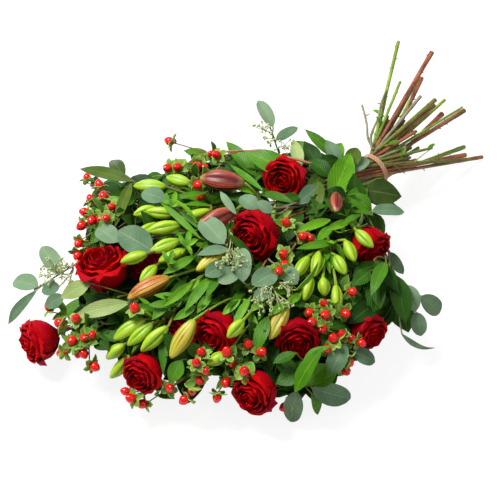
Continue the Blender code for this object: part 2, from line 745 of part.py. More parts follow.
def placeCalyx(name, seat, axis, size):
    """The rose's green cup just under its bloom, with five sepals as the points of a star."""
    side = axis.orthogonal().normalized()
    up = axis.cross(side)

    def shapesFor(draw, wander, swell):
        bend = draw.uniform(0.1, 0.9) + wander
        reach = 0.021 * (1 - 0.5 * wander)
        rows = ((-0.0075, 0.0016, 0.0016), (-0.0055, 0.0042, 0.0042), (-0.0032, reach, 0.0056), (0, 0.0060, 0.0056))
        rings = []
        for level, (along, points, hollows) in enumerate(rows):
            ring = []
            for index in range(10):
                turn = math.pi * index / 5
                far = (points if index % 2 else hollows) + swell
                drop = 0.012 * bend if level == 2 and index % 2 else 0
                out = side * math.cos(turn) + up * math.sin(turn)
                ring.append(seat + (out * far + axis * (along - drop)) * size)
            rings.append(ring)
        return [loft(rings)]

    settle(name, "calyx", shapesFor, 40, ignore=(name.replace("stem", "bloom"),))


def placeRoseLeaf(name):
    """One leaf partway up a rose's stem, wherever there is room."""
    def shapesFor(draw, wander, swell):
        path = stemPaths[name]
        index = draw.randrange(2, 4)
        root = path[index]
        along = (path[index + 1] - path[index - 1]).normalized()
        out = (along * 0.7 + anyWay(draw, 1.0) + Vector((0, 0, 0.3))).normalized()
        stemEnd = root + out * 0.018
        span = out * draw.uniform(0.038, 0.052) + Vector((0, 0, -0.006))
        normal = (Vector((0, 0, 1)) + anyWay(draw, 0.5)).normalized()
        normal = (normal - out * normal.dot(out)).normalized()
        points = [root, stemEnd]
        half = [0.0011, 0.0010]
        for share, wide in leafShapes["oval"][1:]:
            points.append(stemEnd + span * share)
            half.append(wide * 0.0135)
        points.append(stemEnd + span)
        half.append(0)
        if folds(points, half):
            return None
        return [blade(points, half, normal, 0.0014, 0.2, swell)]

    settle(name, "leaf", shapesFor, 80)


def placeRestingLeaf(name, base, tip, width):
    """A broad leaf under the bunch, which lies flat on the table."""
    def shapesFor(draw, wander, swell):
        foot = Vector((base[0], base[1], 0.012)) + anyWay(draw, 0.02 * wander)
        foot.z = 0.010
        end = Vector((tip[0], tip[1], 0.004)) + anyWay(draw, 0.02 * wander)
        end.z = 0.003
        span = end - foot
        points = stalk(name, draw, wander, foot, span.normalized(), 2)[:-1]
        half = [0.0011, 0.0010]
        for share, wide in leafShapes["oval"]:
            place = foot + span * share
            place.z = 0.010 * (1 - min(1, share * 2)) + 0.0007
            points.append(place)
            half.append(wide * width * 0.0005)
        points.append(end)
        half.append(0)
        if folds(points, half):
            return None
        places, faces = blade(points, half, Vector((0, 0, 1)), 0.0014, 0.10, 0.0)
        lowest = min(place.z for place in places)
        lift = Vector((0, 0, (floorGap if swell else 0) - lowest))
        return [([place + lift for place in places], faces)]

    return settle(name, "resting leaf", shapesFor, 200)


def placeLeaves(kind, table):
    for number, spray in enumerate(table, 1):
        for index, (base, tip, width, *shape) in enumerate(spray["leaves"]):
            if shape:
                placeLeaf(f"{kind}_{number}", f"leaf {index}", base, tip, width, shape[0])
            else:
                placeLeaf(f"{kind}_{number}", f"leaf {index}", base, tip, width, "lance", 0.010)


def growBouquet():
    places = placeRoses()
    jobs = []
    for number, seat, axis, size in places:
        jobs.append((f"rose_stem_{number}", "rose", seat - axis * 0.004 * size, None, axis))
    sprays = (("lily", lilies, 0.050, 0.030), ("hypericum", hypericums, 0.045, 0.016),
              ("eucalyptus", eucalyptuses, 0.040, 0.010), ("leafy_green", greens, 0.045, 0.016))
    for kind, table, neckSink, tipSink in sprays:
        for number, spray in enumerate(table, 1):
            neck = onDome(spray["neck"], spray.get("neckSink", neckSink))
            tip = onDome(spray["tip"], spray.get("tipSink", tipSink))
            jobs.append((f"{kind}_{number}", kind, neck, tip, None))
    given = shareSlots([(job[0], job[2]) for job in jobs])
    tails = shareTails(given)
    jobs.sort(key=lambda job: (job[4] is None, job[2].x < -nearNeck))
    for name, kind, neck, tip, axis in jobs:
        if not growStem(name, kind, given[name], tails, neck, tip, axis):
            print("no room for stem", name)
        if kind == "rose":
            number, seat, axis, size = places[int(name.split("_")[-1]) - 1]
            placeCalyx(name, seat, axis, size)
    for name, base, tip, width in restingLeaves:
        placeRestingLeaf(name, base, tip, width)
    placeLeaves("eucalyptus", eucalyptuses)
    for number, spray in enumerate(lilies, 1):
        for index, (tip, base, *width) in enumerate(spray["buds"]):
            placeBud(f"lily_{number}", f"bud {index}", tip, base, *width)
    placeLeaves("leafy_green", greens)
    for number, spray in enumerate(hypericums, 1):
        for index, pick in enumerate(spray["berries"]):
            placeBerry(f"hypericum_{number}", f"berry {index}", pick)
    placeLeaves("lily", lilies)
    for number, seat, axis, size in places:
        placeRoseLeaf(f"rose_stem_{number}")
    print("dropped", len(dropped), dropped)


# The tie

def tieShapes():
    """Three turns of twine as one ridged ring, with a knot and two short ends."""
    reach = max(math.hypot(*slot) for slot in slots(len(stemPaths)))
    inner = reach * 1.012 + waistRadius + 0.0006
    twine = 0.0017
    sides = 12
    profile = [(-2.9 * twine, 0.0)]
    for turn in (-2, 0, 2):
        profile += [((turn - 0.6) * twine, 1.7 * twine), ((turn + 0.6) * twine, 1.7 * twine)]
        if turn < 2:
            profile.append(((turn + 1) * twine, 0.8 * twine))
    profile.append((2.9 * twine, 0.0))
    points = []
    faces = []
    for step in range(sides):
        turn = 2 * math.pi * step / sides
        out = Vector((0, math.cos(turn), math.sin(turn)))
        for along, high in profile:
            points.append(Vector((along, 0, tieHeight)) + out * (inner / math.cos(math.pi / sides) + high))
    wide = len(profile)
    for step in range(sides):
        low = step * wide
        after = ((step + 1) % sides) * wide
        for index in range(wide):
            other = (index + 1) % wide
            faces.append((low + index, after + index, after + other, low + other))
    ring = (points, faces)
    knotAt = Vector((0, 0, tieHeight)) - fanAlong * (inner + 1.6 * twine)
    knot = tube([knotAt + fanOver * -0.004, knotAt, knotAt + fanOver * 0.004], (0.0022, 0.0034, 0.0022), 6)
    shapes = [ring, knot]
    for sign in (-1, 1):
        end = knotAt - fanAlong * 0.010 + fanOver * (sign * 0.014) + Vector((0.006 * sign, 0, -0.006))
        middle = knotAt.lerp(end, 0.5) - fanAlong * 0.003
        shapes.append(tube([knotAt, middle, end], (0.0012, 0.0012, 0.0011), 5))
    return shapes


# Making the objects

def meshFrom(name, shape):
    points, faces = shape
    mesh = bpy.data.meshes.new(name)
    mesh.from_pydata([tuple(point) for point in points], [], faces)
    mesh.update()
    return mesh


def keepBody(mesh):
    """Keeps the largest body: sealed hollows are filled and loose scraps dropped."""
    bodyOf = list(range(len(mesh.polygons)))

    def root(index):
        while bodyOf[index] != index:
            bodyOf[index] = bodyOf[bodyOf[index]]
            index = bodyOf[index]
        return index

    facesAt = {}
    for face in mesh.polygons:
        for edge in face.edge_keys:
            facesAt.setdefault(edge, []).append(face.index)
    for sharing in facesAt.values():
        if len(sharing) == 2:
            bodyOf[root(sharing[0])] = root(sharing[1])
    volumes = {}
    for face in mesh.polygons:
        corners = [mesh.vertices[index].co for index in face.vertices]
        key = root(face.index)
        for second, third in zip(corners[1:], corners[2:]):
            volumes[key] = volumes.get(key, 0.0) + corners[0].dot(second.cross(third)) / 6
    best = max(volumes, key=volumes.get)
    faces = [face for face in mesh.polygons if root(face.index) == best]
    order = sorted({index for face in faces for index in face.vertices})
    place = {index: number for number, index in enumerate(order)}
    points = [tuple(mesh.vertices[index].co) for index in order]
    return points, [tuple(place[index] for index in face.vertices) for face in faces], len(volumes) - 1


def touchesItself(points, faces):
    """True where an edge has other than two faces, once points this close are one."""
    numbers = {}
    spots = [numbers.setdefault(tuple(round(value / weldGap) for value in point), len(numbers)) for point in points]
    counts = {}
    for face in faces:
        for first, second in zip(face, face[1:] + face[:1]):
            edge = tuple(sorted((spots[first], spots[second])))
            if edge[0] != edge[1]:
                counts[edge] = counts.get(edge, 0) + 1
    return any(count != 2 for count in counts.values())


def unite(name, shapes):
    """Joins shapes in one Boolean union, applies it and keeps its one body."""
    body = bpy.data.objects.new(name, meshFrom(name, shapes[0]))
    bpy.context.scene.collection.objects.link(body)
    if len(shapes) > 1:
        joined = bpy.data.collections.new(name + "_shapes")
        bpy.context.scene.collection.children.link(joined)
        for index, shape in enumerate(shapes[1:]):
            piece = bpy.data.objects.new(f"{name}_{index}", meshFrom(f"{name}_{index}", shape))
            joined.objects.link(piece)
        union = body.modifiers.new("union", "BOOLEAN")
        union.operation = "UNION"
        union.operand_type = "COLLECTION"
        union.collection = joined
        union.solver = "EXACT"
        union.use_self = True
        bpy.context.view_layer.objects.active = body
        bpy.ops.object.modifier_apply(modifier="union")
        for piece in list(joined.objects):
            bpy.data.objects.remove(piece, do_unlink=True)
        bpy.data.collections.remove(joined)
    found = keepBody(body.data)
    bpy.data.objects.remove(body, do_unlink=True)
    return found


def fuse(name, shapes, material):
    """Makes a node's one solid; where the union touches itself, its pieces are nudged a hair and joined again."""
    for attempt in range(8):
        draw = random.Random(f"{name} nudge {attempt}")
        nudged = []
        for points, shapeFaces in shapes:
            offset = anyWay(draw, nudge if attempt else 0.0)
            offset.z = max(0.0, offset.z)
            nudged.append(([point + offset for point in points], shapeFaces))
        points, faces, extra = unite(name, nudged)
        if not touchesItself(points, faces):
            break
    if extra or attempt:
        print(name, "shells left out", extra, "nudges", attempt)
    body = bpy.data.objects.new(name, meshFrom(name, (points, faces)))
    bpy.context.scene.collection.objects.link(body)
    body.data.materials.append(material)
    body.data.shade_smooth()
    body.data.set_sharp_from_angle(angle=math.radians(50))
    return body


def makeMaterial(name, colour, rough):
    material = bpy.data.materials.new(name)
    material.use_nodes = True
    shader = material.node_tree.nodes["Principled BSDF"]
    shader.inputs["Base Color"].default_value = (*colour, 1)
    shader.inputs["Roughness"].default_value = rough
    shader.inputs["Metallic"].default_value = 0.0
    return material


def standOnTable(bodies):
    """Moves all the pieces so that the table is z = 0 and the box's middle is over the origin."""
    corners = [vertex.co for body in bodies for vertex in body.data.vertices]
    low = [min(corner[axis] for corner in corners) for axis in range(3)]
    high = [max(corner[axis] for corner in corners) for axis in range(3)]
    shift = Matrix.Translation((-(low[0] + high[0]) / 2, -(low[1] + high[1]) / 2, -low[2]))
    for body in bodies:
        body.data.transform(shift)
    print("size", [round(high[axis] - low[axis], 4) for axis in range(3)], "shift", shift.translation)


def main():
    for old in list(bpy.data.objects):
        bpy.data.objects.remove(old, do_unlink=True)
    materials = {kind: makeMaterial(kind, *tone) for kind, tone in tones.items()}
    growBouquet()
    keep("tie", tieShapes())
    bodies = []
    for name, shapes in shapesOf.items():
        kind = name.rstrip("0123456789").rstrip("_")
        bodies.append(fuse(name, shapes, materials[kind]))
    standOnTable(bodies)
    total = 0
    for kind in tones:
        count = 0
        for body in bodies:
            if body.name.startswith(kind):
                body.data.calc_loop_triangles()
                count += len(body.data.loop_triangles)
        total += count
        print("triangles", kind, count)
    print("triangles in all", total, "nodes", len(bodies))


main()
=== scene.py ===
import math
import random

import bpy
import numpy as np
from mathutils import Matrix, Vector
from mathutils.bvhtree import BVHTree


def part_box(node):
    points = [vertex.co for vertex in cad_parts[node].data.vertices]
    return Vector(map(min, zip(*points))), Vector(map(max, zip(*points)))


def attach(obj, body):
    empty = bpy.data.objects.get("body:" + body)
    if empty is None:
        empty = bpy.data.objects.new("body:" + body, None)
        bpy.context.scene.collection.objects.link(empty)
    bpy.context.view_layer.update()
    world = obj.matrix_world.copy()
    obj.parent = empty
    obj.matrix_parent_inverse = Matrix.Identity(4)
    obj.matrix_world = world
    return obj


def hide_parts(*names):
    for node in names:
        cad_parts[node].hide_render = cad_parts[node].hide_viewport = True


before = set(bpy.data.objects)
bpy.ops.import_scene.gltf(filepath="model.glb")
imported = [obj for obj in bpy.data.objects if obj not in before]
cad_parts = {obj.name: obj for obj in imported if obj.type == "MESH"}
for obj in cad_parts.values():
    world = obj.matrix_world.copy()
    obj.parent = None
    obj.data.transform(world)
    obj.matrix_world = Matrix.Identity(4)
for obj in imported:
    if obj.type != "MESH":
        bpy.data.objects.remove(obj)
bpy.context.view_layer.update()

# The photograph's view: it looks down at the bunch, which lies turned across the picture.
# Column and row are pixels of the 500 pixel picture, and the tie's middle is the origin until the end.
viewTilt = math.radians(50)
viewTurn = math.radians(45)
viewReach = 1.8
pixelWide = 0.00145
viewAim = Vector((-0.188, -0.146, 0.06))
lens = viewReach / pixelWide
pictureMiddle = 250
viewDown = Vector((0, math.cos(viewTilt), -math.sin(viewTilt)))
viewUp = Vector((0, math.sin(viewTilt), math.cos(viewTilt)))
viewEye = viewAim - viewDown * viewReach
turnToModel = Matrix.Rotation(-viewTurn, 3, "Z")

# The head of flowers is a low dome, an oval as the picture shows it
domeMiddle = (-0.22, -0.17)
domeHalf = (0.325, 0.24)
domeRim = 0.028
domeRise = 0.137
rimFall = 0.35
humpRise = 0.028
humpFall = 0.55

# The stems cross at the tie in a florist's spiral
tieHeight = 0.075
slotSpacing = 0.0059
waistRadius = 0.00245
fanTurn = math.radians(33)
leanAcross = 30.0
leanAside = 0.08
leanUp = 12.0
straightReach = 0.042
nearNeck = 0.13
fanAlong = Vector((0, math.cos(fanTurn), math.sin(fanTurn)))
fanOver = Vector((0, -math.sin(fanTurn), math.cos(fanTurn)))

clearGap = 0.0006
seatGap = 0.00035
sharpTurn = math.radians(72)
floorGap = 0.0004
mm = 0.001
halfMm = 0.0005
leafThick = 0.0014
stalkHalf = (0.0011, 0.0010)

# Stem kinds: number of sides, radius at a short tail's end and at the flower end
kinds = {
    "rose": dict(sides=4, cut=0.0026, top=0.0023),
    "lily": dict(sides=4, cut=0.0026, top=0.0022),
    "hypericum": dict(sides=4, cut=0.0025, top=0.0014),
    "eucalyptus": dict(sides=3, cut=0.0020, top=0.0011),
    "leafy_green": dict(sides=3, cut=0.0020, top=0.0012),
}

# Cut ends that the picture shows: place, and radius in mm
cutEnds = (((432, 53), 4.0), ((405, 41), 2.9), ((492, 155), 3.0), ((466, 171), 3.0), ((465, 146), 3.4),
           ((424, 79), 3.8), ((434, 105), 3.8), ((435, 99), 3.6), ((441, 114), 4.0), ((463, 113), 3.8),
           ((466, 158), 3.6), ((413, 74), 2.8), ((399, 84), 2.2), ((421, 94), 2.6), ((442, 98), 2.6),
           ((462, 106), 1.7), ((410, 100), 2.2), ((386, 90), 1.8), ((363, 105), 1.8), ((412, 154), 1.8),
           ((407, 160), 1.8))
tailRuns = [step * 0.01 for step in range(5, 26)]
shortTail = (0.05, 0.10)
berrySides = 4

# Roses: bloom's middle in the picture, sink of its middle under the dome, width in mm,
# and the way it faces as picture right, picture up and towards the eye
roses = (
    ((287, 179), 30, 60, (-0.42, -0.15, 0.90)),
    ((259, 232), 26, 64, (-0.62, -0.36, 0.68)),
    ((104, 271), 26, 68, (-0.20, 0.80, 0.55)),
    ((147, 260), 46, 56, (-0.60, -0.20, 0.60)),
    ((41, 340), 20, 58, (-0.80, -0.30, 0.45)),
    ((220, 331), 30, 58, (-0.60, -0.42, 0.68)),
    ((297, 335), 28, 54, (0.05, -0.62, 0.78)),
    ((368, 243), 32, 54, (0.45, -0.75, 0.45)),
    ((145, 371), 24, 52, (-0.45, -0.50, 0.75)),
    ((257, 390), 14, 58, (-0.52, -0.48, 0.70)),
    ((366, 330), 30, 50, (0.50, -0.45, 0.50)),
    ((180, 334), 62, 52, (-0.50, -0.40, 0.70)),
)

# Lilies: the stem's neck and tip, then buds as tip and base, and leaves as base, tip and width in mm.
# A bud's third number is its width in mm where it is a fat one.
lilies = (
    dict(neck=(225, 205), tip=(196, 204), buds=(((133, 186), (167, 187)), ((133, 215), (158, 209)),
         ((181, 220), (211, 210))), leaves=(((205, 193), (170, 200), 9), ((225, 215), (190, 226), 9))),
    dict(neck=(212, 240), tip=(182, 243), buds=(((133, 243), (158, 223)), ((146, 233), (181, 225)),
         ((149, 251), (179, 240)), ((120, 264), (150, 254)), ((140, 283), (157, 265))),
         leaves=(((195, 256), (162, 275), 13), ((205, 232), (178, 212), 9))),
    dict(neck=(192, 306), tip=(152, 333), buds=(((113, 340), (146, 319)), ((127, 346), (153, 323)),
         ((106, 359), (125, 344)), ((111, 379), (133, 355))),
         leaves=(((196, 306), (173, 320), 12), ((172, 298), (152, 320), 16))),
    dict(neck=(328, 232), tip=(327, 256), buds=(((295, 277), (309, 256)), ((314, 277), (319, 251)),
         ((325, 296), (323, 277)), ((337, 312), (336, 284)), ((346, 275), (335, 255))),
         leaves=(((350, 221), (325, 230), 12), ((336, 242), (296, 249), 12))),
    dict(neck=(275, 196), tip=(252, 196), buds=(((199, 178), (246, 184), 24), ((199, 225), (236, 210), 20)),
         leaves=(((262, 190), (228, 166), 12),)),
    dict(neck=(240, 258), tip=(205, 268), buds=(((127, 299), (171, 277)), ((196, 271), (225, 252))),
         leaves=(((211, 293), (197, 313), 13), ((199, 279), (185, 292), 11))),
    dict(neck=(258, 288), tip=(241, 303), buds=(((169, 360), (195, 322)), ((225, 337), (244, 319)),
         ((207, 365), (226, 354))), leaves=(((240, 300), (222, 315), 12),)),
    dict(neck=(295, 272), tip=(287, 298), buds=(((269, 340), (288, 305)), ((246, 288), (262, 283))),
         leaves=(((301, 294), (286, 305), 11), ((270, 296), (250, 312), 12))),
    dict(neck=(348, 205), tip=(352, 226), buds=(((336, 212), (336, 193)), ((372, 248), (357, 230))),
         leaves=(((360, 215), (340, 228), 10),)),
)

# Hypericum sprays: neck and tip of the stem, and the berries
hypericums = (
    dict(neck=(150, 212), neckSink=0.038, tip=(104, 208),
         berries=((87, 177), (103, 196), (84, 212), (100, 219), (81, 226), (78, 244))),
    dict(neck=(226, 172), neckSink=0.035, tip=(185, 165),
         berries=((169, 141), (211, 154), (177, 167), (197, 166), (198, 185))),
    dict(neck=(130, 312), tip=(80, 336),
         berries=((48, 306), (59, 323), (72, 341), (61, 353), (78, 354), (95, 367))),
    dict(neck=(188, 362), tip=(164, 393), tipSink=0.022,
         berries=((125, 390), (142, 404), (151, 389), (170, 388))),
    dict(neck=(236, 340), neckSink=0.055, tip=(198, 375),
         berries=((201, 352), (196, 362), (200, 381), (184, 400))),
    dict(neck=(255, 340), tip=(233, 372), berries=((227, 353), (227, 383), (217, 398), (248, 374))),
    dict(neck=(310, 226), tip=(290, 252), berries=((286, 222), (303, 236), (284, 264), (269, 272))),
    dict(neck=(338, 268), tip=(328, 306), berries=((353, 292), (324, 303), (346, 314), (311, 323))),
    dict(neck=(345, 300), tip=(343, 352),
         berries=((333, 338), (351, 339), (362, 343), (350, 362), (346, 371), (320, 394))),
)

# Eucalyptus and other greens: neck and tip of the stem, and leaves as base, tip and width in mm.
# A leaf whose shape isn't its kind's usual one names it.
# A pick's third number is its height over the table in mm.
eucalyptuses = (
    dict(neck=(92, 258), neckSink=0.062, tip=(34, 290), leaves=(((61, 274), (49, 249), 33),
         ((38, 287), (12, 281), 30), ((36, 291), (9, 324), 15, "lance"),
         ((60, 286), (42, 292), 20), ((64, 296), (46, 306), 20))),
    dict(neck=(190, 232), tip=(152, 236), leaves=(((152, 250), (117, 230), 46),
         ((118, 242), (97, 228), 28), ((165, 200), (142, 193), 26))),
    dict(neck=(285, 165, 105), tip=(270, 127, 128), leaves=(((273, 127, 132), (258, 100, 150), 21),
         ((276, 140, 118), (298, 128, 128), 18))),
    dict(neck=(238, 206), tip=(227, 246), leaves=(((224, 244), (202, 218), 36),
         ((236, 214, 172), (212, 192, 168), 15, "lance"), ((229, 250), (197, 255), 16, "lance"),
         ((228, 264), (205, 276), 24))),
    dict(neck=(272, 240), tip=(252, 284), leaves=(((243, 282), (243, 249), 28),
         ((238, 271), (218, 282), 24), ((277, 272), (252, 285), 30),
         ((282, 268), (297, 284), 24), ((271, 290), (254, 300), 20))),
    dict(neck=(305, 206), tip=(272, 208), leaves=(((257, 209), (240, 197), 24),
         ((271, 213), (256, 200), 22))),
    dict(neck=(372, 225), tip=(416, 318), leaves=(((372, 211), (405, 211), 27),
         ((390, 252), (409, 268), 23), ((380, 261), (392, 284), 24),
         ((421, 296), (440, 313), 26), ((416, 312), (421, 336), 22),
         ((402, 334), (434, 349), 15, "lance"), ((405, 285), (416, 311), 24))),
    dict(neck=(345, 320), tip=(318, 384), leaves=(((345, 344), (329, 375), 27),
         ((353, 352), (375, 362), 24),
         ((312, 388), (348, 397), 36), ((297, 391), (291, 422), 27))),
)
greens = (
    dict(neck=(318, 172, 100), tip=(292, 170, 112), leaves=(((294, 176, 108), (240, 152, 120), 50),
         ((256, 176, 96), (226, 141, 108), 22, "lance"), ((212, 160, 92), (184, 150, 100), 20))),
    dict(neck=(316, 186, 84), tip=(306, 168, 104), leaves=(((336, 158, 104), (307, 128, 122), 18, "lance"),
         ((318, 162, 98), (291, 142, 108), 26), ((328, 168, 104), (342, 142, 104), 26))),
    dict(neck=(330, 210, 66), tip=(316, 218, 74), leaves=(((360, 196, 82), (401, 197, 66), 36),
         ((328, 216, 70), (352, 226, 60), 24))),
    dict(neck=(383, 240), tip=(390, 278), leaves=(((395, 275), (406, 323), 38),
         ((375, 276), (376, 315), 28), ((378, 300), (350, 326), 30),
         ((374, 260), (398, 287), 28), ((370, 271), (352, 286), 22))),
    dict(neck=(303, 345), tip=(299, 386), leaves=(((295, 392, 78), (321, 354, 112), 36),
         ((303, 385), (327, 363), 28), ((312, 384), (336, 373), 26),
         ((311, 393), (319, 415), 18), ((296, 353), (275, 365), 20),
         ((268, 317), (255, 352), 20, "lance"))),
    dict(neck=(150, 290), neckSink=0.07, tip=(118, 297), leaves=(((90, 283), (61, 299), 26),
         ((128, 303), (74, 315), 24, "lance"), ((103, 229), (90, 242), 18))),
    dict(neck=(205, 212), neckSink=0.046, tip=(134, 183), leaves=(((131, 184), (115, 225), 19, "lance"),
         ((133, 181), (79, 168), 26, "lance"), ((124, 178), (112, 161), 22))),
    dict(neck=(215, 352), tip=(188, 362), leaves=(((182, 360), (170, 383), 22),
         ((216, 364), (184, 377), 20))),
)

# Broad leaves under the bunch, which it lies on: owner, plan place of base and tip from the tie, width in mm
restingLeaves = (
    ("leafy_green_4", (-0.115, -0.150), (-0.150, -0.205), 40),
    ("leafy_green_5", (-0.300, -0.120), (-0.345, -0.175), 42),
    ("leafy_green_8", (-0.400, -0.020), (-0.455, -0.070), 42),
    ("leafy_green_6", (-0.425, 0.140), (-0.482, 0.176), 42),
    ("leafy_green_7", (-0.290, 0.235), (-0.330, 0.290), 42),
    ("leafy_green_1", (-0.140, 0.130), (-0.175, 0.185), 42),
)

# Leaf outlines: share of the length from the base, share of the half width
leafShapes = {
    "round": ((0.0, 0.12), (0.26, 0.92), (0.72, 0.90)),
    "oval": ((0.0, 0.10), (0.30, 0.94), (0.68, 0.82)),
    "lance": ((0.0, 0.14), (0.30, 0.95), (0.68, 0.85)),
}

# A bloom 60 mm wide, along its axis: the core's height and radius, the petals' radius, height and spread
bloomFoot = 0.0300
coreRows = ((-bloomFoot, 0.0068), (-0.0165, 0.0135), (0.0080, 0.0148), (0.0245, 0.0100))
innerRoot = (0.0060, -0.0190)
innerRows = ((0.0205, -0.0010, 1.0), (0.0200, 0.0280, 0.80))
outerRoot = (0.0040, -0.0262)
outerRows = ((0.0240, -0.0135, 1.0), (0.0285, 0.0060, 1.0), (0.0300, 0.0232, 0.70))
petalThick = 0.0022

taken = []
stemPaths = {}
dropped = []
plans = {}
skyward = Vector((0, 0, 1))


# Places in the picture

# The column and row where the picture shows a point
def toPicture(point):
    seen = turnToModel.transposed() @ point - viewEye
    depth = seen.dot(viewDown)
    return pictureMiddle + lens * seen.x / depth, pictureMiddle - lens * seen.dot(viewUp) / depth


# The point that the picture shows at this pixel, at this height
def onRay(column, row, height):
    across = (column - pictureMiddle) / lens
    up = (pictureMiddle - row) / lens
    ray = viewDown + Vector((across, 0, 0)) + viewUp * up
    point = viewEye + ray * ((viewEye.z - height) / -ray.z)
    return turnToModel @ point


# Height of the head of flowers over a plan place, with the hump of the stems by the tie
def domeHeight(point):
    seen = turnToModel.transposed() @ point
    share = ((seen.x - domeMiddle[0]) / domeHalf[0]) ** 2 + ((seen.y - domeMiddle[1]) / domeHalf[1]) ** 2
    dome = domeRim + domeRise * math.sqrt(max(0.0, 1 - share)) - rimFall * max(0.0, share - 1)
    return max(dome, tieHeight + humpRise - humpFall * math.hypot(point.x, point.y))


# The dome's point at a pixel, sunk by this much; a third number in the pick is its height in mm.
# A line of sight that passes over the dome gives the point where it is nearest to it.
def onDome(pick, sink=0.0):
    if len(pick) > 2:
        return onRay(*pick[:2], max(0.002, pick[2] * mm - sink))
    nearest = math.inf
    height = 0.22
    while height > 0.004 and nearest > 0:
        point = onRay(*pick, height)
        gap = height - domeHeight(point) + sink
        if gap < nearest:
            nearest = gap
            best = point
        height -= 0.002
    return best


# A direction given as the picture shows it
def facing(right, up, toward):
    seen = Vector((right, 0, 0)) + viewUp * up - viewDown * toward
    return (turnToModel @ seen).normalized()


# The direction square to a way that is nearest to this one
def squareTo(way, direction):
    return (direction - way * direction.dot(way)).normalized()


# A random offset inside a box of this reach
def anyWay(draw, reach):
    return Vector([draw.uniform(-1, 1) for axis in range(3)]) * reach


# Up, tilted at random by about this much
def tilted(draw, reach):
    return (skyward + anyWay(draw, reach)).normalized()


# Shapes: each is a list of points and a list of faces

def bezier(start, startPull, endPull, end, count):
    points = []
    for step in range(count + 1):
        t = step / count
        s = 1 - t
        points.append(start * s**3 + startPull * (3 * s * s * t) + endPull * (3 * s * t * t) + end * t**3)
    return points


# A side and an up direction at each point, carried along without twist
def frames(points):
    last = len(points) - 1
    tangents = [(points[min(index + 1, last)] - points[max(index - 1, 0)]).normalized()
                for index in range(last + 1)]
    side = tangents[0].cross(skyward if abs(tangents[0].z) < 0.9 else Vector((1, 0, 0))).normalized()
    result = []
    for tangent in tangents:
        side = squareTo(tangent, side)
        result.append((tangent, side, tangent.cross(side)))
    return result


# True where a path turns so sharply that a solid of these radii along it would cross itself
def folds(points, radii):
    for index in range(1, len(points) - 1):
        before = points[index] - points[index - 1]
        after = points[index + 1] - points[index]
        turn = before.angle(after, math.pi)
        if turn > sharpTurn or radii[index] * math.tan(turn / 2) > 0.8 * min(before.length, after.length):
            return True
    return False


# Joins rings of points into one closed solid, with a flat start and a pointed or flat end
def loft(rings, tip=None):
    sides = len(rings[0])
    points = [point for ring in rings for point in ring]
    faces = [tuple(reversed(range(sides)))]
    for low in range(0, len(points) - sides, sides):
        for index in range(sides):
            after = (index + 1) % sides
            faces.append((low + index, low + after, low + sides + after, low + sides + index))
    last = len(points) - sides
    if tip is None:
        faces.append(tuple(range(last, last + sides)))
    else:
        points.append(tip)
        faces += [(last + index, last + (index + 1) % sides, len(points) - 1) for index in range(sides)]
    return points, faces


# A stem, bud or berry along points, with this radius at each
def tube(points, radii, sides=5, pointed=False):
    turns = [2 * math.pi * index / sides for index in range(sides)]
    rings = []
    for point, radius, (tangent, side, up) in zip(points, radii, frames(points)):
        rings.append([point + side * (radius * math.cos(turn)) + up * (radius * math.sin(turn))
                      for turn in turns])
    if pointed:
        return loft(rings[:-1], points[-1])
    return loft(rings)


# A leaf along its midrib: four points round each station, and a pointed tip
def blade(points, halfWidths, normal, fold, swell=0.0, thick=leafThick):
    tangents = [tangent for tangent, side, up in frames(points)]
    last = len(points) - 2
    side = tangents[last].cross(normal).normalized()
    rings = []
    for index in range(last, -1, -1):
        side = squareTo(tangents[index], side)
        up = side.cross(tangents[index])
        half = halfWidths[index]
        deep = up * (thick / 2 + swell)
        edge = points[index] + up * (fold * half)
        reach = side * (half + swell)
        rings.append([edge - reach, points[index] + deep, edge + reach, points[index] - deep])
    return loft(rings[::-1], points[-1])


# Keeping clear

def treeOf(shape):
    return BVHTree.FromPolygons(*shape, epsilon=0.0)


def boxOf(shape):
    points = np.array([tuple(point) for point in shape[0]])
    return points.min(axis=0), points.max(axis=0)


# True where no shape goes below the table or touches another node's shape.
# With stalkFaces, what comes after a shape's own stalk stays clear of its own node too.
def isClear(owner, shapes, ignore=(), stalkFaces=None, others=taken, lowest=floorGap - 1e-6):
    for shape in shapes:
        low, high = boxOf(shape)
        if low[2] < lowest:
            return False
        tree = None
        for node, otherLow, otherHigh, otherTree in others:
            own = node == owner
            if (own and stalkFaces is None) or node in ignore:
                continue
            if (low > otherHigh).any() or (high < otherLow).any():
                continue
            tree = tree or treeOf(shape)
            pairs = tree.overlap(otherTree)
            if any(not own or pair[0] >= stalkFaces for pair in pairs):
                return False
    return True


# Tries a piece in ever freer ways until it is clear of the other nodes, and keeps it
def settle(owner, label, shapesFor, attempts, ignore=(), gap=clearGap, stalkFaces=None):
    for attempt in range(attempts):
        wander = attempt / attempts
        seed = f"{owner} {label} {attempt}"
        roomy = shapesFor(random.Random(seed), wander, gap)
        if roomy and isClear(owner, roomy, ignore, stalkFaces):
            for shape in shapesFor(random.Random(seed), wander, 0.0):
                taken.append((owner, *boxOf(shape), treeOf(shape)))
            return True
    dropped.append(f"{owner} {label}")
    plans.pop((owner, label), None)
    return False


# Roses

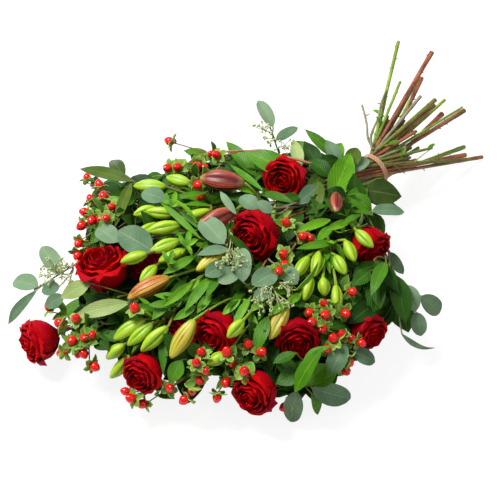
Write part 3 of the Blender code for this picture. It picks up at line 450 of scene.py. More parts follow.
# A cupped petal from a point in the core: a thin lens whose front and back share their rim
def rosePetal(turn, root, rows, spread, swell):
    columns = (-1.0, -0.36, 0.36, 1.0)
    wide = len(columns)
    high = len(rows)
    middle = Vector((math.cos(turn), math.sin(turn), 0))
    points = [middle * root[0] + Vector((0, 0, root[1]))]
    front = {}
    back = {}
    for level, (radius, height, share) in enumerate(rows):
        for place, across in enumerate(columns):
            angle = turn + across * spread * share
            reach = (radius + 0.0016 * across) * (1 - 0.06 * across * across)
            lift = height - 0.0035 * across * across * (level + 1) / high
            outward = Vector((math.cos(angle), math.sin(angle), 0))
            middle = outward * reach + Vector((0, 0, lift))
            rim = abs(across) == 1.0 or level == high - 1
            front[level, place] = back[level, place] = len(points)
            if rim and not swell:
                points.append(middle)
                continue
            half = (0 if rim else petalThick / 2) + swell
            back[level, place] += 1
            points += [middle + outward * half, middle - outward * half]
    faces = []
    for place in range(wide - 1):
        faces.append((0, front[0, place + 1], front[0, place]))
        faces.append((0, back[0, place], back[0, place + 1]))
    for level in range(high - 1):
        for place in range(wide - 1):
            a, b = (level, place), (level, place + 1)
            c, d = (level + 1, place + 1), (level + 1, place)
            halves = ((a, b, d), (b, c, d)) if place == 0 else ((a, b, c), (a, c, d))
            for half in halves:
                faces.append(tuple(front[corner] for corner in half))
                faces.append(tuple(back[corner] for corner in reversed(half)))
    return points, faces


# A bloom: a swirled core with three inner and five outer petals, for a bloom 60 mm wide times size
def roseShapes(middle, axis, size, seed, swell=0.0):
    draw = random.Random(seed)
    twist = draw.uniform(0, 2 * math.pi)
    sides = 6
    rings = []
    for height, radius in coreRows:
        ring = []
        for index in range(sides):
            reach = (radius + swell) * (1.08 if index % 2 else 0.92)
            turn = 2 * math.pi * index / sides + height * 22
            ring.append(Vector((reach * math.cos(turn), reach * math.sin(turn), height)))
        rings.append(ring)
    shapes = [loft(rings, Vector((0.002, 0.001, 0.0190)))]
    for index in range(3):
        turn = twist + (index + draw.uniform(-0.06, 0.06)) * 2 * math.pi / 3
        shapes.append(rosePetal(turn, innerRoot, innerRows, 0.98, swell))
    for index in range(5):
        radius, height, share = outerRows[-1]
        rows = outerRows[:-1] + ((radius + draw.uniform(-0.0015, 0.002), height, share),)
        turn = twist + 0.5 + (index + draw.uniform(-0.06, 0.06)) * 2 * math.pi / 5
        shapes.append(rosePetal(turn, outerRoot, rows, 0.72, swell))
    turned = axis.to_track_quat("Z", "Y").to_matrix()
    return [([middle + turned @ (point * size) for point in points], faces) for points, faces in shapes]


def placeRoses():
    places = []
    for number, (pick, sink, width, way) in enumerate(roses, 1):
        axis = facing(*way)
        size = width / 60
        name = f"rose_bloom_{number}"

        def shapesFor(draw, wander, swell):
            drop = sink * mm + draw.uniform(-0.4, 1) * 0.05 * wander
            way = (axis + anyWay(draw, 0.5 * wander)).normalized()
            middle = onDome(pick, drop)
            middle.z = max(middle.z, 0.036 * size)
            plans[name, "bloom"] = dict(middle=middle, axis=way, size=size, number=number)
            return roseShapes(middle, way, size, number, swell)

        if settle(name, "bloom", shapesFor, 80):
            middle, way = plans[name, "bloom"]["middle"], plans[name, "bloom"]["axis"]
            places.append((f"rose_stem_{number}", middle - way * (bloomFoot * size + seatGap), way, size))
    return places


# Stems

# Hexagonal places across the tie, nearest the middle first
def slots(count):
    found = []
    for row in range(-8, 9):
        for column in range(-8, 9):
            along = (column + 0.5 * (row % 2) + 0.25) * slotSpacing
            found.append((along, row * slotSpacing * math.sqrt(0.75)))
    found.sort(key=lambda place: math.hypot(*place))
    return found[:count]


# The direction of a stem through its slot, towards the cut ends
def lean(slot):
    along, over = slot
    return Vector((1, leanAside, 0)) - fanAlong * (leanAcross * over) + fanOver * (leanUp * along)


def waistPoint(slot):
    return fanAlong * slot[0] + fanOver * slot[1] + Vector((0, 0, tieHeight))


# Gives each stem a slot, so that the ones for the left of the head lie on top in the tie
def shareSlots(stems):
    rows = {}
    for place in slots(len(stems)):
        rows.setdefault(round(place[1], 6), []).append(place)
    waiting = []
    for name, neck in stems:
        way = Vector((0, neck.y, neck.z - tieHeight)) / max(0.05, -neck.x)
        waiting.append((way.dot(fanAlong), way.dot(fanOver), name))
    waiting.sort()
    given = {}
    for over in sorted(rows):
        row = sorted(rows[over])
        batch = sorted(waiting[:len(row)], key=lambda item: -item[1])
        waiting = waiting[len(row):]
        for place, item in zip(row, batch):
            given[item[2]] = place
    return given


# Gives each cut end in the picture to the free stem whose straight tail passes nearest to it
def shareTails(given):
    free = dict(given)
    found = {}
    for (column, row), radius in cutEnds:
        nearest = None
        for name, slot in free.items():
            for run in tailRuns:
                seenAt = toPicture(waistPoint(slot) + lean(slot) * run)
                gap = math.hypot(seenAt[0] - column, seenAt[1] - row)
                if nearest is None or gap < nearest[0]:
                    nearest = (gap, name, run)
        gap, name, run = nearest
        found[name] = (run, radius * mm)
        del free[name]
    return found


# End and radius of the straight tail past the tie, cut where it would reach the table
def tailOf(name, kind, slot, tails):
    way = lean(slot)
    start = waistPoint(slot)
    if name in tails:
        length, cutRadius = tails[name]
    else:
        length = random.Random("tail " + name).uniform(*shortTail)
        cutRadius = kinds[kind]["cut"]
    if way.z < 0:
        length = min(length, (start.z - cutRadius * 1.2 - floorGap) / -way.z)
    return start + way * length, cutRadius


# The whole stem: cut end, tie and neck, then its tip or a bloom that faces along the axis
def growStem(name, kind, slot, tails, neck, tip, axis):
    end, cutRadius = tailOf(name, kind, slot, tails)
    way = lean(slot)
    start = waistPoint(slot)
    values = kinds[kind]

    def shapesFor(draw, wander, swell):
        bulge = anyWay(draw, 0.08 * wander)
        bulge.x *= 0.4
        bulge.z -= 0.02 * wander
        back = -way.normalized()
        leave = start - way * (straightReach * (1 + draw.uniform(0, 1.2) * wander))
        target = neck
        if axis is None:
            target = neck + anyWay(draw, 0.05 * max(0.0, wander - 0.1))
            heading = ((tip - target).normalized() + (target - start).normalized()).normalized()
            pull = target - heading * (target - leave).length * 0.33
        else:
            pull = target - axis * (target - leave).length * 0.25
        backPull = leave + back * (target - leave).length * 0.3 + bulge * 0.4
        points = [end] + bezier(leave, backPull, pull + bulge, target, 4)
        if axis is None:
            points.append(tip)
        stemPaths[name] = points
        radii = [cutRadius + swell, waistRadius + swell]
        rest = len(points) - 2
        for step in range(1, rest + 1):
            radii.append(waistRadius + (values["top"] - waistRadius) * (step / rest) ** 0.7 + swell)
        if folds(points, radii):
            return None
        plans[name, "stem"] = dict(points=points, radii=radii)
        return [tube(points, radii, values["sides"])]

    return settle(name, "stem", shapesFor, 900, gap=0.0002)


# A point on a stem this far upstream of its nearest to a place, and the stem's direction there
def nearOn(name, point, upstream):
    path = stemPaths[name][1:]
    fine = [first.lerp(second, step / 6) for first, second in zip(path, path[1:]) for step in range(6)]
    fine.append(path[-1])
    best = min(range(len(fine)), key=lambda index: (fine[index] - point).length)
    walked = 0.0
    while best > 3 and walked < upstream:
        walked += (fine[best] - fine[best - 1]).length
        best -= 1
    ahead = fine[min(best + 1, len(fine) - 1)]
    return fine[best], (ahead - fine[max(best - 1, 0)]).normalized()


# Points from the own stem to the base of a bud, berry or leaf, which it meets going this way
def stalk(name, draw, wander, base, heading, count):
    gap = (base - nearOn(name, base, 0)[0]).length
    root, along = nearOn(name, base, gap * draw.uniform(0.2, 0.9) + draw.uniform(0, 0.05) * wander)
    reach = (base - root).length
    toward = (base - root).normalized()
    startPull = root + (along + toward) * (reach * 0.18) + anyWay(draw, 0.02 * wander)
    endPull = base - (heading * 1.3 + toward * 0.7) * (reach * 0.18) + anyWay(draw, 0.02 * wander)
    return bezier(root, startPull, endPull, base, count)


# A leaf's stalk, the rows of its outline and its tip, planned under its label where it doesn't fold
def planLeaf(name, label, points, rows, tip, **plan):
    half = list(stalkHalf)
    for place, wide in rows:
        points.append(place)
        half.append(wide)
    points.append(tip)
    half.append(0)
    if folds(points, half):
        return None
    plans[name, label] = dict(stalk=points[:3], arch=0.0, shape="oval") | plan
    return points, half


def placeLeaf(name, label, basePick, tipPick, width, shape, sink, attempts=300):
    def shapesFor(draw, wander, swell):
        drop = sink + draw.uniform(-0.6, 1) * 0.035 * wander
        tipDrop = drop + draw.uniform(-1, 1) * 0.02 * wander
        base = onDome(basePick, drop + 0.003)
        tip = onDome(tipPick, tipDrop)
        tip += anyWay(draw, 0.014 * wander)
        span = tip - base
        heading = span.normalized()
        outward = facing(0, 0.15, 1) * 0.7 + Vector((0, 0, 0.5)) + anyWay(draw, 0.25 + 0.7 * wander)
        normal = squareTo(heading, outward)
        arch = span.length * draw.uniform(0.03, 0.10)
        points = stalk(name, draw, wander, base, heading, 2)[:-1]
        shrink = 1 - 0.35 * wander
        rows = [(base + span * share + normal * (arch * math.sin(math.pi * share)),
                 max(0.0010, wide * width * halfMm * shrink)) for share, wide in leafShapes[shape]]
        found = planLeaf(name, label, points, rows, tip, span=span, normal=normal, arch=arch, shape=shape,
                         width=width * halfMm * shrink)
        return found and [blade(*found, normal, 0.22, swell)]

    settle(name, label, shapesFor, attempts, stalkFaces=1 + 2 * 4)


def placeBud(name, label, tipPick, basePick, width=19, attempts=300):
    def shapesFor(draw, wander, swell):
        drop = 0.010 + draw.uniform(-1, 1) * 0.03 * wander
        base = onDome(basePick, drop + 0.004) + anyWay(draw, 0.006 * wander)
        tip = onDome(tipPick, drop) + anyWay(draw, 0.008 * wander)
        span = tip - base
        fat = min(width * halfMm, max(0.0066, span.length * (0.15 if width < 20 else 0.2))) + swell
        points = stalk(name, draw, wander, base, span.normalized(), 2)
        plan = dict(stalk=points[:3], span=span, fat=fat, pick=tipPick)
        points += [base + span * 0.28, base + span * 0.72, tip]
        radii = [0.0019 + swell, 0.0018 + swell, fat * 0.45, fat * 0.90, fat * 0.92, 0]
        if folds(points, radii):
            return None
        plans[name, label] = plan
        return [tube(points, radii, 5, pointed=True)]

    settle(name, label, shapesFor, attempts, stalkFaces=1 + 2 * 5)


def placeBerry(name, label, pick, attempts=250):
    def shapesFor(draw, wander, swell):
        drop = 0.006 + draw.uniform(-1, 1) * 0.03 * wander
        middle = onDome(pick, drop) + anyWay(draw, 0.006 * wander)
        middle.z = max(middle.z, 0.0085)
        root = nearOn(name, middle, 0)[0]
        heading = ((middle - root).normalized() + facing(0, 0.2, 0.5) * 0.4 + anyWay(draw, 0.5)).normalized()
        base = middle - heading * 0.0095
        points = stalk(name, draw, wander, base, heading, 1)
        radii = [0.0011 + swell, 0.0011 + swell]
        for step, wide in ((0.0030, 0.0052), (0.0095, 0.0068), (0.0145, 0.0044), (0.0165, 0)):
            points.append(base + heading * step)
            radii.append(wide + swell if wide else 0)
        if folds(points[:3], radii[:3]):
            return None
        plans[name, label] = dict(stalk=points[:2], heading=heading)
        return [tube(points, radii, berrySides, pointed=True)]

    settle(name, label, shapesFor, attempts, stalkFaces=1 + berrySides)


# The rose's green cup just under its bloom, with five sepals as the points of a star
def placeCalyx(name, seat, axis, size):
    side = axis.orthogonal().normalized()
    up = axis.cross(side)

    def shapesFor(draw, wander, swell):
        bend = draw.uniform(0.1, 0.9) + wander
        reach = 0.021 * (1 - 0.5 * wander)
        rows = ((-0.0075, 0.0016, 0.0016), (-0.0055, 0.0042, 0.0042), (-0.0032, reach, 0.0056),
                (0, 0.0060, 0.0056))
        rings = []
        for level, (along, points, hollows) in enumerate(rows):
            ring = []
            for index in range(10):
                turn = math.pi * index / 5
                far = (points if index % 2 else hollows) + swell
                drop = 0.012 * bend if level == 2 and index % 2 else 0
                out = side * math.cos(turn) + up * math.sin(turn)
                ring.append(seat + (out * far + axis * (along - drop)) * size)
            rings.append(ring)
        plans[name, "calyx"] = dict(seat=seat, axis=axis, side=side, up=up, size=size)
        return [loft(rings)]

    settle(name, "calyx", shapesFor, 40, ignore=(name.replace("stem", "bloom"),))


# One leaf partway up a rose's stem, wherever there is room
def placeRoseLeaf(name):
    def shapesFor(draw, wander, swell):
        path = stemPaths[name]
        index = draw.randrange(2, 4)
        root = path[index]
        along = (path[index + 1] - path[index - 1]).normalized()
        out = (along * 0.7 + anyWay(draw, 1.0) + Vector((0, 0, 0.3))).normalized()
        base = root + out * 0.018
        span = out * draw.uniform(0.038, 0.052) + Vector((0, 0, -0.006))
        normal = squareTo(out, tilted(draw, 0.5))
        rows = [(base + span * share, wide * 0.0135) for share, wide in leafShapes["oval"][1:]]
        found = planLeaf(name, "leaf", [root, base], rows, base + span, span=span, normal=normal,
                         shape="rose", width=0.0135, stalk=[root, root.lerp(base, 0.5), base])
        return found and [blade(*found, normal, 0.2, swell)]

    settle(name, "leaf", shapesFor, 80)


# A broad leaf under the bunch, which lies flat on the table
def placeRestingLeaf(name, base, tip, width):
    def shapesFor(draw, wander, swell):
        foot = Vector((*base, 0)) + anyWay(draw, 0.02 * wander)
        foot.z = 0.010
        end = Vector((*tip, 0)) + anyWay(draw, 0.02 * wander)
        end.z = 0.003
        span = end - foot
        points = stalk(name, draw, wander, foot, span.normalized(), 2)[:-1]
        rows = []
        for share, wide in leafShapes["oval"]:
            place = foot + span * share
            place.z = 0.010 * (1 - min(1, share * 2)) + 0.0007
            rows.append((place, wide * width * halfMm))
        found = planLeaf(name, "resting leaf", points, rows, end, span=span, normal=skyward,
                         width=width * halfMm, flat=True)
        if not found:
            return None
        places, faces = blade(*found, skyward, 0.10)
        lowest = min(place.z for place in places)
        lift = Vector((0, 0, (floorGap if swell else 0) - lowest))
        return [([place + lift for place in places], faces)]

    settle(name, "resting leaf", shapesFor, 200)


def placeLeaves(kind, table, usual, sink):
    for number, spray in enumerate(table, 1):
        for index, (base, tip, width, *shape) in enumerate(spray["leaves"]):
            placeLeaf(f"{kind}_{number}", f"leaf {index}", base, tip, width, *(shape or [usual]), sink)


def growBouquet():
    places = placeRoses()
    jobs = [(name, "rose", seat - axis * 0.004 * size, None, axis) for name, seat, axis, size in places]
    sprays = (("lily", lilies, 0.050, 0.030), ("hypericum", hypericums, 0.045, 0.016),
              ("eucalyptus", eucalyptuses, 0.040, 0.010), ("leafy_green", greens, 0.045, 0.016))
    for kind, table, neckSink, tipSink in sprays:
        for number, spray in enumerate(table, 1):
            neck = onDome(spray["neck"], spray.get("neckSink", neckSink))
            tip = onDome(spray["tip"], spray.get("tipSink", tipSink))
            jobs.append((f"{kind}_{number}", kind, neck, tip, None))
    given = shareSlots([(job[0], job[2]) for job in jobs])
    tails = shareTails(given)
    jobs.sort(key=lambda job: (job[4] is None, job[2].x < -nearNeck))
    cups = {place[0]: place for place in places}
    for name, kind, neck, tip, axis in jobs:
        growStem(name, kind, given[name], tails, neck, tip, axis)
        if kind == "rose":
            placeCalyx(*cups[name])
    for leaf in restingLeaves:
        placeRestingLeaf(*leaf)
    placeLeaves("eucalyptus", eucalyptuses, "round", 0.004)
    for number, spray in enumerate(lilies, 1):
        for index, picks in enumerate(spray["buds"]):
            placeBud(f"lily_{number}", f"bud {index}", *picks)
    placeLeaves("leafy_green", greens, "oval", 0.004)
    for number, spray in enumerate(hypericums, 1):
        for index, pick in enumerate(spray["berries"]):
            placeBerry(f"hypericum_{number}", f"berry {index}", pick)
    placeLeaves("lily", lilies, "lance", 0.010)
    for place in places:
        placeRoseLeaf(place[0])
    return tails


# More berries, buds and leaves than the solids carry: picks in the picture for each spray
moreBerries = {
    1: ((90, 198), (99, 184), (112, 207), (105, 215), (91, 221), (78, 257)),
    2: ((215, 154), (204, 167), (200, 195), (167, 168)),
    3: ((92, 335), (84, 354), (77, 317), (84, 339)),
    4: ((131, 394), (134, 307), (144, 375)),
    5: ((192, 391), (206, 371)),
    6: ((248, 344), (231, 361), (262, 352)),
    7: ((310, 238), (278, 271), (283, 254)),
    8: ((322, 329), (325, 315), (309, 313)),
    9: ((326, 349), (287, 407), (342, 334)),
}
moreBuds = {
    1: (((145, 212), (176, 214)), ((166, 177), (192, 184))),
    2: (((158, 262), (186, 250)),),
    3: (((140, 352), (168, 326)),),
    4: (((303, 300), (312, 274)), ((355, 262), (345, 240))),
}
moreLeaves = {
    "lily_2": (((200, 238), (168, 205), 12), ((196, 222), (172, 198), 10)),
    "lily_6": (((192, 282), (163, 308), 14), ((212, 276), (184, 312), 14),
               ((222, 270), (204, 302), 14)),
    "lily_4": (((332, 226), (316, 243), 14), ((344, 232), (338, 225), 12),
               ((330, 220), (296, 232), 14)),
    "lily_3": (((186, 300), (152, 291), 14), ((176, 304), (150, 306), 12)),
    "lily_7": (((250, 298), (232, 330), 12), ((246, 306), (262, 338), 12)),
    "lily_8": (((296, 290), (318, 268), 13), ((290, 300), (268, 318), 12)),
    "lily_9": (((322, 196, 112), (308, 226, 116), 16), ((316, 188, 112), (302, 214, 120), 14)),
    "eucalyptus_6": (((282, 216), (302, 196), 26, "round"),),
    "leafy_green_4": (((384, 252), (404, 262), 26, "oval"), ((386, 262), (364, 296), 26, "oval")),
    "leafy_green_5": (((300, 372), (276, 384), 24, "oval"), ((302, 364), (330, 348), 24, "oval")),
    "leafy_green_8": (((200, 356), (186, 340), 20, "oval"), ((210, 350), (222, 368), 18, "oval")),
}
# Leaves over the stems by the tie: base and tip with heights in mm, width in mm, shape and look.
# The small ones by the lilies are lances in the lilies' green.
coverLeaves = {
    "leafy_green_2": (((331, 200, 112), (351, 152, 132), 38, "oval", "salalLeaf"),
                      ((301, 168, 118), (293, 139, 126), 19, "oval", "paleLeaf"),
                      ((338, 164, 112), (326, 140, 120), 24, "oval", "silverLeaf"),
                      ((346, 170, 114), (358, 147, 118), 24, "oval", "oliveLeaf"),
                      ((330, 178, 122), (308, 160, 126), 26, "oval", "shadeLeaf"),
                      ((352, 172, 112), (368, 158, 108), 20, "round", "silverLeaf")),
    "leafy_green_3": (((344, 206, 104), (368, 188, 112), 26, "oval", "glossyLeaf"),
                      ((364, 190, 108), (401, 197, 92), 40, "oval", "oliveLeaf"),
                      ((346, 198, 116), (327, 190, 122), 22, "oval", "shadeLeaf"),
                      ((350, 196, 110), (372, 212, 96), 26, "oval", "glossyLeaf"),
                      ((326, 196, 118), (306, 214, 116), 24, "oval", "shadeLeaf"),
                      ((318, 182, 124), (316, 214, 118), 24, "lance", "oliveLeaf")),
    "leafy_green_1": (((294, 174, 120), (244, 151, 128), 34, "oval", "salalLeaf"),
                      ((318, 186, 126), (296, 205, 124), 24, "oval", "silverLeaf"),
                      ((326, 172, 120), (306, 190, 126), 20, "lance", "oliveLeaf"),
                      ((316, 168, 120), (338, 158, 122), 24, "oval", "shadeLeaf")),
    "leafy_green_7": (((300, 196, 128), (276, 205, 132), 18, "lance", "shadeLeaf"),),
    "lily_1": (((172, 207), (166, 193), 8), ((172, 207), (176, 191), 8),
               ((172, 207), (181, 202), 7), ((171, 205), (162, 202), 7)),
    "lily_2": (((187, 247), (179, 234), 7), ((187, 247), (190, 230), 8),
               ((187, 247), (198, 239), 7), ((186, 246), (192, 256), 6)),
    "lily_3": (((168, 264), (162, 251), 6), ((168, 264), (173, 250), 7),
               ((168, 263), (177, 262), 6)),
}
# Bent grey twigs that stand out beside the tie, from their feet among the stems
bentTwigs = (("eucalyptus_7", ((374, 150, 88), (368, 138, 92), (367, 126, 94), (365, 116, 96),
                               (362, 105, 96))),
             ("eucalyptus_7", ((372, 150, 90), (371, 136, 96), (378, 118, 100), (381, 104, 102),
                               (386, 91, 104))))
ripeTips = {(196, 271): "budRipe", (169, 360): "budRipe", (269, 340): "budRipe", (127, 299): "budStriped",
            (199, 178): "budRed", (199, 225): "budRed", (246, 288): "budRed", (336, 212): "budRed"}


# Templates, each modelled once and copied for every petal, leaf, bud and berry

def deselectAll():
    for item in list(bpy.context.selected_objects):
        item.select_set(False)


def readTemplate(item):
    mesh = item.data
    found = dict(points=np.array([tuple(vertex.co) for vertex in mesh.vertices]),
                 loops=np.array([loop.vertex_index for loop in mesh.loops]),
                 sizes=np.array([face.loop_total for face in mesh.polygons]))
    bpy.data.objects.remove(item, do_unlink=True)
    return found


def sheetTemplate(across, along):
    # A flat sheet from -1 to 1 each way, thickened to a closed slab
    deselectAll()
    bpy.ops.mesh.primitive_grid_add(x_subdivisions=across, y_subdivisions=along, size=2)
    sheet = bpy.context.object
    thicken = sheet.modifiers.new("thicken", "SOLIDIFY")
    thicken.thickness = 2
    thicken.offset = 0
    bpy.ops.object.modifier_apply(modifier="thicken")
    return readTemplate(sheet)


def ballTemplate(segments, rings):
    deselectAll()
    bpy.ops.mesh.primitive_uv_sphere_add(segments=segments, ring_count=rings, radius=1)
    return readTemplate(bpy.context.object)


def rodTemplate(rings, sides):
    low = np.arange((rings - 1) * sides)
    after = low - low % sides + (low + 1) % sides
    quads = np.stack([low, after, after + sides, low + sides], axis=1).ravel()
    return dict(loops=np.concatenate([np.arange(sides)[::-1], quads, np.arange(sides) + len(low)]),
                sizes=np.array([sides] + [4] * len(low) + [sides]))


templates = {
    "petal": sheetTemplate(10, 9),
    "broadLeaf": sheetTemplate(8, 14),
    "leaf": sheetTemplate(6, 9),
    "smallLeaf": sheetTemplate(4, 6),
    "sepal": sheetTemplate(3, 4),
    "bud": ballTemplate(30, 16),
    "berry": ballTemplate(14, 10),
    "seed": ballTemplate(7, 5),
}
chunks = {}
print("Templates ready")


# Keeps a copy for its piece. Its material reads the place (across, along, draw) and the side.
def addChunk(piece, look, template, points, across, along, draw, side=0.0):
    place = np.stack(np.broadcast_arrays(across, along, draw, side), axis=-1)
    chunks.setdefault(piece, []).append((look, points, template["loops"], template["sizes"], place))


def asArray(vector):
    return np.array(tuple(vector), dtype=float)


def unit(rows):
    return rows / np.maximum(np.linalg.norm(rows, axis=-1, keepdims=True), 1e-12)


# Leaves: outlines as share of the length from the base, and share of the half width there

outlines = {
    "round": ((0, 0.05, 0.12, 0.25, 0.4, 0.55, 0.7, 0.82, 0.92, 0.97, 1),
              (0.05, 0.34, 0.60, 0.88, 1.0, 0.99, 0.90, 0.72, 0.46, 0.26, 0.06)),
    "oval": ((0, 0.06, 0.15, 0.3, 0.45, 0.6, 0.75, 0.88, 0.96, 1),
             (0.05, 0.30, 0.62, 0.94, 1.0, 0.93, 0.70, 0.38, 0.14, 0.02)),
    "lance": ((0, 0.08, 0.2, 0.35, 0.5, 0.65, 0.8, 0.92, 1),
              (0.16, 0.44, 0.76, 0.97, 1.0, 0.90, 0.62, 0.28, 0.02)),
    "rose": ((0, 0.06, 0.15, 0.3, 0.45, 0.6, 0.75, 0.88, 0.96, 1),
             (0.05, 0.36, 0.72, 0.98, 1.0, 0.88, 0.62, 0.32, 0.12, 0.02)),
}
leafValues = dict(thick=0.0008, cup=0.22, flatCup=0.03, wave=0.05, curl=0.10, broadFrom=0.012,
                  stalk=(0.0011, 0.0010, 0.0010, 0.0007), restingAt=0.0009, turnToLight=0.45)


def layLeaf(piece, look, base, span, normal, arch, width, shape, draw, template="leaf", flat=False):
    x, t, z = templates[template]["points"].T
    t = (t + 1) / 2
    base, span, normal = asArray(base), asArray(span), asArray(normal)
    curl = 0 if flat else leafValues["curl"] * (draw - 0.35) * np.linalg.norm(span)
    lift = arch * np.sin(np.pi * t) - curl * t**3
    slope = arch * np.pi * np.cos(np.pi * t) - 3 * curl * t**2
    middle = base + span * t[:, None] + normal * lift[:, None]
    tangent = unit(span + normal * slope[:, None])
    side = unit(np.cross(tangent, normal))
    up = np.cross(side, tangent)
    half = np.interp(t, *outlines[shape]) * width
    ripple = 0 if flat else leafValues["wave"] * np.sin(9 * t + 6 * draw + 1.5 * np.sign(x)) * np.abs(x) ** 2
    cup = leafValues["flatCup"] if flat else leafValues["cup"] * (0.4 + draw)
    raised = half * (cup * np.abs(x) ** 1.4 + ripple) + z * leafValues["thick"] / 2
    points = middle + side * (x * half)[:, None] + up * raised[:, None]
    addChunk(piece, look, templates[template], points, x, t, draw, z > 0)


# Stems, stalks and twine

def smoothPath(points, radii, steps):
    # Catmull-Rom through the points, with their radii carried along
    path = np.array([tuple(point) for point in points])
    radii = np.array(radii, dtype=float)
    ends = np.vstack([2 * path[0] - path[1], path, 2 * path[-1] - path[-2]])
    found = []
    wide = []
    for index in range(len(path) - 1):
        a, b, c, d = ends[index:index + 4]
        gap = np.linalg.norm(c - b)
        before = (c - a) / max(np.linalg.norm(b - a) + gap, 1e-9) * gap
        after = (d - b) / max(np.linalg.norm(d - c) + gap, 1e-9) * gap
        for step in range(steps):
            t = step / steps
            h = (2 * t**3 - 3 * t**2 + 1, t**3 - 2 * t**2 + t, 3 * t**2 - 2 * t**3, t**3 - t**2)
            found.append(h[0] * b + h[1] * before + h[2] * c + h[3] * after)
            wide.append(radii[index] + (radii[index + 1] - radii[index]) * t)
    return np.array(found + [path[-1]]), np.array(wide + [radii[-1]])


def walkedAlong(path):
    return np.concatenate([[0], np.cumsum(np.linalg.norm(np.diff(path, axis=0), axis=1))])


# Rings of points round a path, closed at both ends; side and up are carried along it without twist
def layRings(piece, look, path, turns, reach, across, draw):
    tangents = unit(np.gradient(path, axis=0))
    side = np.cross(tangents[0], (0.0, 0.0, 1.0) if abs(tangents[0][2]) < 0.9 else (1.0, 0.0, 0.0))
    sides = []
    for tangent in tangents:
        side = side - tangent * side.dot(tangent)
        side = side / np.linalg.norm(side)
        sides.append(side)
    up = np.cross(tangents, sides)
    ring = (np.cos(turns)[None, :, None] * np.array(sides)[:, None, :]
            + np.sin(turns)[None, :, None] * up[:, None, :])
    places = (path[:, None, :] + ring * reach[:, :, None]).reshape(-1, 3)
    along = np.repeat(walkedAlong(path), len(turns))
    addChunk(piece, look, rodTemplate(len(path), len(turns)), places, across, along, draw)


stemValues = dict(sides=10, knots=0.16, knotSpacing=0.034, thornSpacing=0.034, thorn=0.0045, twig=0.024,
                  twigRadii=(0.0011, 0.0009, 0.0007), cutPlug=0.002, bareByTie=0.060)


def layRod(piece, look, points, radii, sides, steps, draw, knots=0.0):
    path, wide = smoothPath(points, radii, steps)
    turns = np.linspace(0, 2 * np.pi, sides, endpoint=False)
    if knots:
        waves = np.cos(walkedAlong(path) * 2 * np.pi / stemValues["knotSpacing"] + draw * 6)
        wide = wide * (1 + knots * np.maximum(0, waves) ** 8)
    layRings(piece, look, path, turns, wide[:, None], np.tile(turns / np.pi - 1, len(path)), draw)


# The bark of each stem whose cut end the picture shows, in the order of the cut ends
cutBarks = ("roseBark lilyBark twigBark oliveBark lilyBark roseBark twigBark oliveBark roseBark twigBark "
            "roseBark oliveBark lilyBark greyBark lilyBark lilyBark limeBark greyBark greyBark greyBark "
            "greyBark").split()


def layStem(piece, bark, plan, draw):
    # The tail through the tie stays straight, and its cut end shows pale wood
    points, radii = plan["points"], plan["radii"]
    end, leave = points[:2]
    shares = (0, 0.3, 0.6, 0.85, 0.97)
    line = [end.lerp(leave, share) for share in shares] + points[1:]
    wide = [radii[0] + (radii[1] - radii[0]) * share for share in shares] + radii[1:]
    layRod(piece, bark, line, wide, stemValues["sides"], 5, draw, stemValues["knots"])
    out = (end - leave).normalized()
    layRod(piece, "cutEnd", [end - out * stemValues["cutPlug"], end + out * 0.0004],
           (radii[0] * 0.9, radii[0] * 0.86), stemValues["sides"], 2, draw)
    rng = random.Random("stubs " + piece)
    tail = (end - leave).length
    walked = rng.uniform(0.006, 0.02)
    while walked < tail - stemValues["bareByTie"]:
        spot = end - out * walked
        radius = radii[0] + (radii[1] - radii[0]) * walked / tail
        way = anyWay(rng, 1).cross(out).normalized()
        if bark in ("greyBark", "limeBark", "oliveBark") and walked > tail * 0.35 and rng.random() < 0.6:
            bend = (way + out * rng.uniform(0.2, 0.9)).normalized() * stemValues["twig"]
            bend = bend * rng.uniform(0.5, 1.2)
            middle = spot + bend * 0.5 + anyWay(rng, 0.002)
            twigBark = "limeBark" if rng.random() < 0.6 else bark
            layRod(piece, twigBark, [spot, middle, spot + bend + out * 0.004], stemValues["twigRadii"],
                   6, 3, draw)
            if rng.random() < 0.45:
                heading = bend.normalized()
                layLeaf(piece, "lilyLeaf", spot + bend + out * 0.003, heading * rng.uniform(0.014, 0.024),
                        squareTo(heading, skyward), 0.002, 0.0040, "oval", rng.random(), "smallLeaf")
        else:
            foot = spot + way * radius * 0.7
            point = foot + way * stemValues["thorn"] * rng.uniform(0.5, 1) + out * 0.001
            layRod(piece, bark, [foot - out * 0.0012, point], (radius * 0.42, 0.0003), 6, 2, draw)
        walked += stemValues["thornSpacing"] * rng.uniform(0.4, 1.1)


# Lily buds

budValues = dict(rib=0.06, groove=0.20, full=1.28, bend=0.04, stalk=(0.0019, 0.0018, 0.0021, 0.0026),
                 leafLengths=(0.028, 0.048), leafWidth=0.0048)
budOutline = ((0, 0.04, 0.12, 0.26, 0.42, 0.58, 0.72, 0.84, 0.93, 0.98, 1),
              (0.24, 0.36, 0.56, 0.84, 1.0, 0.99, 0.84, 0.60, 0.36, 0.20, 0.03))


